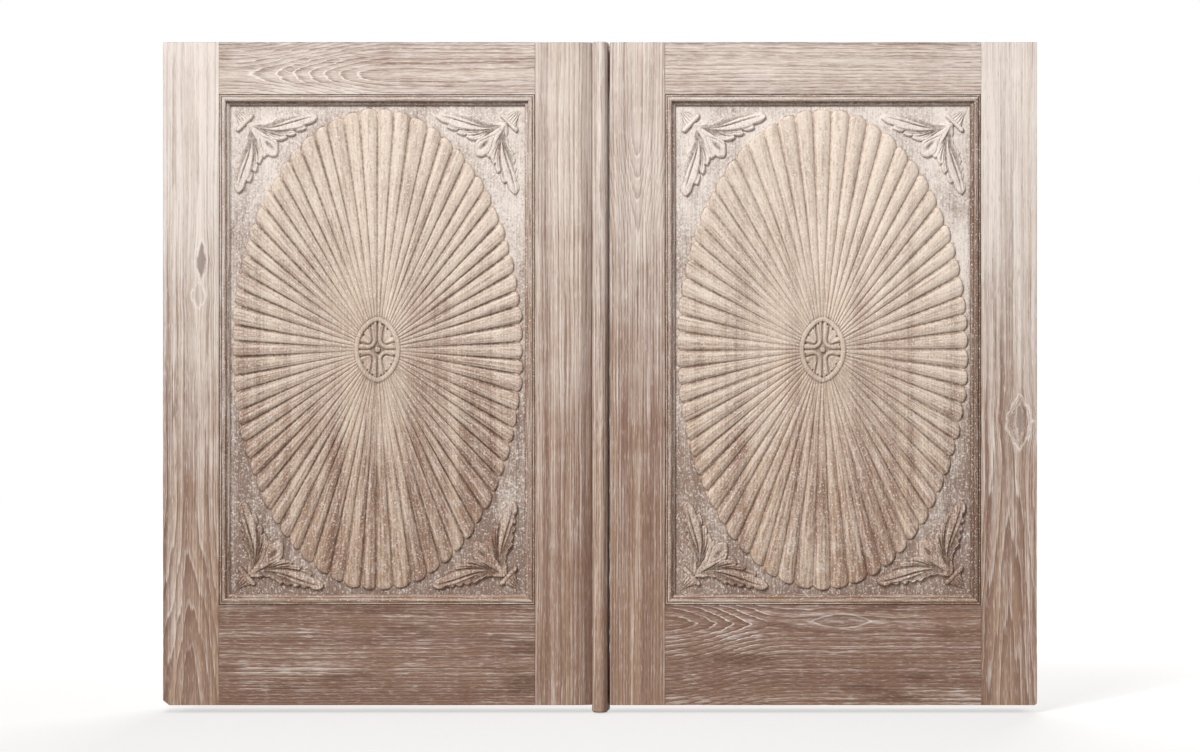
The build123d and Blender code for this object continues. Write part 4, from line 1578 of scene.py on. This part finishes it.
def dressed(finish: Finish) -> bpy.types.Material:
    """The material of a finish, built once for each name.

    Args:
        finish: The finish.

    Returns:
        Its material.
    """
    if finish.name not in MATERIALS:
        MATERIALS[finish.name] = finish.material()
    return MATERIALS[finish.name]


def keep(
    piece: bpy.types.Object, body: str, node: Optional[str], finish: Finish, sharp: float
) -> None:
    """Puts a piece into the scene, on its body, with its finish.

    Args:
        piece: The piece.
        body: The CAD body that it rides on.
        node: The CAD node that it stands for, if any.
        finish: Its finish.
        sharp: Edges that turn by more degrees than this stay sharp.
    """
    bpy.context.scene.collection.objects.link(piece)
    mesh = piece.data
    mesh.materials.clear()
    mesh.materials.append(dressed(finish))
    mesh.shade_smooth()
    mesh.set_sharp_from_angle(angle=math.radians(sharp))
    weigh = piece.modifiers.new("weigh", "WEIGHTED_NORMAL")
    weigh.keep_sharp = True
    weigh.weight = 60
    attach(piece, body)
    if node:
        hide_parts(node)
    LOG.info("%s on %s: %d points, %d faces", piece.name, body, len(mesh.vertices), len(mesh.polygons))


@dataclass(frozen=True)
class Studio:
    """Plain white surround, pale floor, a broad lamp high on the left and a level camera far off."""

    front: float = -0.070
    distance: float = 5.2
    view_width: float = 1.9744
    view_centre: float = 0.5316
    sensor: float = 36.0
    floor_level: float = -0.0235
    ambient: float = 0.16
    sun_power: float = 1.25
    sun_from: Triple = (-0.5, -0.74, 0.42)
    lamp_power: float = 62.0
    lamp_place: Triple = (-0.6, -2.4, 2.7)
    lamp_aim: Triple = (0.6, 0.0, 1.5)
    floor_half: float = 9.0
    floor_colour: Colour = (0.5, 0.49, 0.48, 1.0)
    near_paper: Colour = (0.72, 0.72, 0.72, 1.0)
    glow: float = 2.8
    paper_share: float = 0.3

    def build(self) -> None:
        """Builds camera, lamps, surround and floor."""
        self.camera()
        self.surround()
        self.floor()
        self.lamp("near", "AREA", self.lamp_power, 0.7, self.lamp_place, self.lamp_aim)
        self.lamp("behind", "AREA", 110.0, 2.4, (0.6, 3.0, 2.2), (0.0, 0.0, 0.5))
        self.lamp("far", "SUN", self.sun_power, math.radians(9), self.sun_from, (0.0, 0.0, 0.0))
        bpy.context.scene.view_settings.view_transform = "Standard"

    def camera(self) -> None:
        """A camera square to the leaves."""
        lens = bpy.data.cameras.new("camera")
        lens.sensor_width = self.sensor
        lens.lens = self.sensor * self.distance / self.view_width
        eye = bpy.data.objects.new("camera", lens)
        eye.location = (0.0, self.front - self.distance, self.view_centre)
        eye.rotation_euler = (math.radians(90), 0.0, 0.0)
        bpy.context.scene.collection.objects.link(eye)
        bpy.context.scene.camera = eye

    def surround(self) -> None:
        """A world that lights softly and shows white behind the object."""
        world = bpy.data.worlds.new("surround")
        bpy.context.scene.world = world
        g = Graph(world)
        soft = g.node("ShaderNodeBackground", None, {"Color": WHITE, "Strength": self.ambient})
        white = g.node("ShaderNodeBackground", None, {"Color": WHITE, "Strength": 1.0})
        g.finish(g.node("ShaderNodeMixShader", None, {0: g.seen(), 1: soft, 2: white}), "World")

    def floor(self) -> None:
        """A plain pale floor that keeps the object's shadow."""
        mesh = bpy.data.meshes.new("floor")
        half, level = self.floor_half, self.floor_level
        corners = [(-half, -half, level), (half, -half, level), (half, half, level), (-half, half, level)]
        mesh.from_pydata(corners, [], [(0, 1, 2, 3)])
        made = bpy.data.materials.new("pale_floor")
        g = Graph(made)
        plain = g.node("ShaderNodeBsdfPrincipled", None, {"Base Color": self.floor_colour, "Roughness": 0.9})
        x, y, _ = g.place()
        off = (x.square() + y.square()).root().ramp(0.9, 2.6)
        paper = g.blend(off, self.near_paper, WHITE)
        glow = g.node("ShaderNodeEmission", None, {"Color": paper, "Strength": self.glow})
        g.finish(g.node("ShaderNodeMixShader", None, {0: g.seen() * self.paper_share, 1: plain, 2: glow}))
        mesh.materials.append(made)
        ground = bpy.data.objects.new("floor", mesh)
        bpy.context.scene.collection.objects.link(ground)

    @staticmethod
    def lamp(
        name: str,
        kind: str,
        power: float,
        size: float,
        place: Triple,
        aim: Triple,
    ) -> None:
        """A soft lamp.

        Args:
            name: Its name.
            kind: AREA, or SUN for a large lamp so far off that its light falls evenly.
            power: Its power in watts, or watts a square metre for a far one.
            size: The length of its side in metres, or the angle that a far one fills.
            place: Where it hangs.
            aim: The point that it faces.
        """
        light = bpy.data.lights.new(name, kind)
        light.energy = power
        if kind == "SUN":
            light.angle = size
        else:
            light.size = size
        holder = bpy.data.objects.new(name, light)
        holder.location = place
        holder.rotation_euler = (Vector(aim) - Vector(place)).to_track_quat("-Z", "Y").to_euler()
        bpy.context.scene.collection.objects.link(holder)


def woods_of(side: str) -> dict[str, LimedWood]:
    """The cuts of wood in one leaf.

    Args:
        side: Left or right.

    Returns:
        A finish for each kind of piece.
    """
    left = side == "left"
    if left:
        upper = Knot(-0.655, 0.722, 0.0085, 0.034, 0.8, 0.0, 0.7)
        knots = {
            "hinge_stile": (upper, Knot(-0.660, 0.664, 0.0095, 0.022, 0.15, 0.0, 0.7)),
            "top_rail": (Knot(-0.510, 1.036, 0.004, 0.010, 0.3, 1.0),),
        }
        figures = {
            "hinge_stile": Figure(-0.672, 0.020, 2.0, -0.05, 0.34, 3.4),
            "meeting_stile": Figure(-0.075, 0.012, 1.9),
            "top_rail": Figure(1.027, 0.010, 1.7, -0.60, -0.34, -7.0, 0.6),
            "bottom_rail": Figure(0.06, 0.012, 2.2),
        }
    else:
        knots = {
            "hinge_stile": (Knot(0.689, 0.456, 0.017, 0.042, 0.55, 2.6),),
            "bottom_rail": (Knot(0.397, 0.128, 0.0095, 0.047, 0.35, 1.0, 0.6, 0.35),),
        }
        figures = {
            "hinge_stile": Figure(0.672, 0.020, 2.0, -0.05, 0.45, 2.6),
            "meeting_stile": Figure(0.062, 0.009, 1.8, 0.75, 0.95, -4.0),
            "top_rail": Figure(1.05, 0.010, 2.0),
            "bottom_rail": Figure(0.124, 0.014, 2.0, 0.10, 0.31, 5.0, 0.6),
        }
    creamy = {"raw": CREAM_RAW, "honey": CREAM_HONEY}
    rail = {"warmth": 0.3, "ring_strength": 1.0, "fibre": 30.0, "waver": 0.005}
    sun = (-0.367 if left else 0.367, 0.575)
    panel = {"carved": True, "wash": 0.75 if left else 0.79, "painted_falloff": 0.66, "sun": sun}
    # Painted shade on the left meeting stile: over the bevel beside the bead, and deeper on the edge next to the
    # bead.
    painted_shade_bands = ((-0.0312, -0.0295, 0.36), (-0.0150, -0.0134, 0.45)) if left else ()
    side_tone = {"wash": 0.56} if left else {"wash": 0.2, "raw": DARK_RAW, "honey": DARK_HONEY}
    stained = {"raw": STAINED_RAW, "honey": STAINED_HONEY}
    cuts: tuple[tuple[str, Grain, dict[str, Any]], ...] = (
        ("panel", Grain.UPRIGHT, {**panel, "warmth": 0.75, "ring_strength": 0.35, "fibre": 12.0, **creamy}),
        ("hinge_stile", Grain.UPRIGHT, {"wash": 0.83, "painted_falloff": 0.86, "fibre": 4.0}),
        ("meeting_stile", Grain.UPRIGHT, {"wash": 0.57, "painted_falloff": 0.56, "fibre": 5.0, "painted_shade_bands": painted_shade_bands}),
        ("top_rail", Grain.LEVEL, {"wash": 0.57 if left else 0.52, "wild": 0.8, **rail}),
        ("bottom_rail", Grain.LEVEL, {"wash": 0.35, "painted_falloff": 0.3, "patchy": 0.6, "wild": 0.7, **rail, **stained}),
        ("moulding_bottom", Grain.LEVEL, {"carved": True, "wash": 0.52, **creamy}),
        ("moulding_top", Grain.LEVEL, {"carved": True, "wash": 0.52}),
        ("moulding_hinge_side", Grain.UPRIGHT, {"carved": True, **side_tone}),
        ("moulding_meeting_side", Grain.UPRIGHT, {"carved": True, "wash": 0.44}),
    )
    seeds = iter((1.3, 2.2, 3.1, 7.7, 9.4) if left else (4.1, 5.7, 6.4, 8.2, 10.9))
    woods = {}
    for part, grain, others in cuts:
        own = {"knots": knots.get(part, ()), "figure": figures.get(part, Figure()), **others}
        woods[part] = LimedWood(f"{side}_{part}_wood", grain, next(seeds, 12.5), **own)
    return woods


def main() -> None:
    """Builds the whole visual model."""
    logging.basicConfig(level=logging.INFO, format="%(name)s %(message)s")
    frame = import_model()
    Studio().build()
    suns = {"left": Sunburst(70, 11, 0.5), "right": Sunburst(66, 23, 0.0, 0.8)}
    for side, sun in suns.items():
        Leaf(side, sun, woods_of(side)).build()
    bead = WornTimber("meeting_bead", arris=1.1, seed=3).build()
    bead_wood = LimedWood("bead_wood", Grain.UPRIGHT, 15.2, wash=0.58, painted_falloff=0.56, fibre=6.0)
    keep(bead, "left_leaf", "meeting_bead", bead_wood, 40)
    for k, node in enumerate(("frame_left_jamb", "frame_right_jamb", "frame_head", "frame_sill")):
        grain = Grain.UPRIGHT if "jamb" in node else Grain.LEVEL
        timber = WornTimber(node, seed=70 + k).build()
        keep(timber, "frame", node, LimedWood(node + "_wood", grain, 16.0 + k, wash=0.45), 40)
    iron = AgedIron()
    for side in ("left", "right"):
        for level in ("lower", "upper"):
            for owner, body in (("leaf", f"{side}_leaf"), ("frame", "frame")):
                keep(ScrewHeads(side, level, owner).build(), body, None, iron, 30)
    for name, node in frame["nodes"].items():
        if "hinge" in name and ("flap" in name or "pin" in name):
            node.data.materials.clear()
            node.data.materials.append(dressed(iron))


if __name__ == "__main__":
    main()
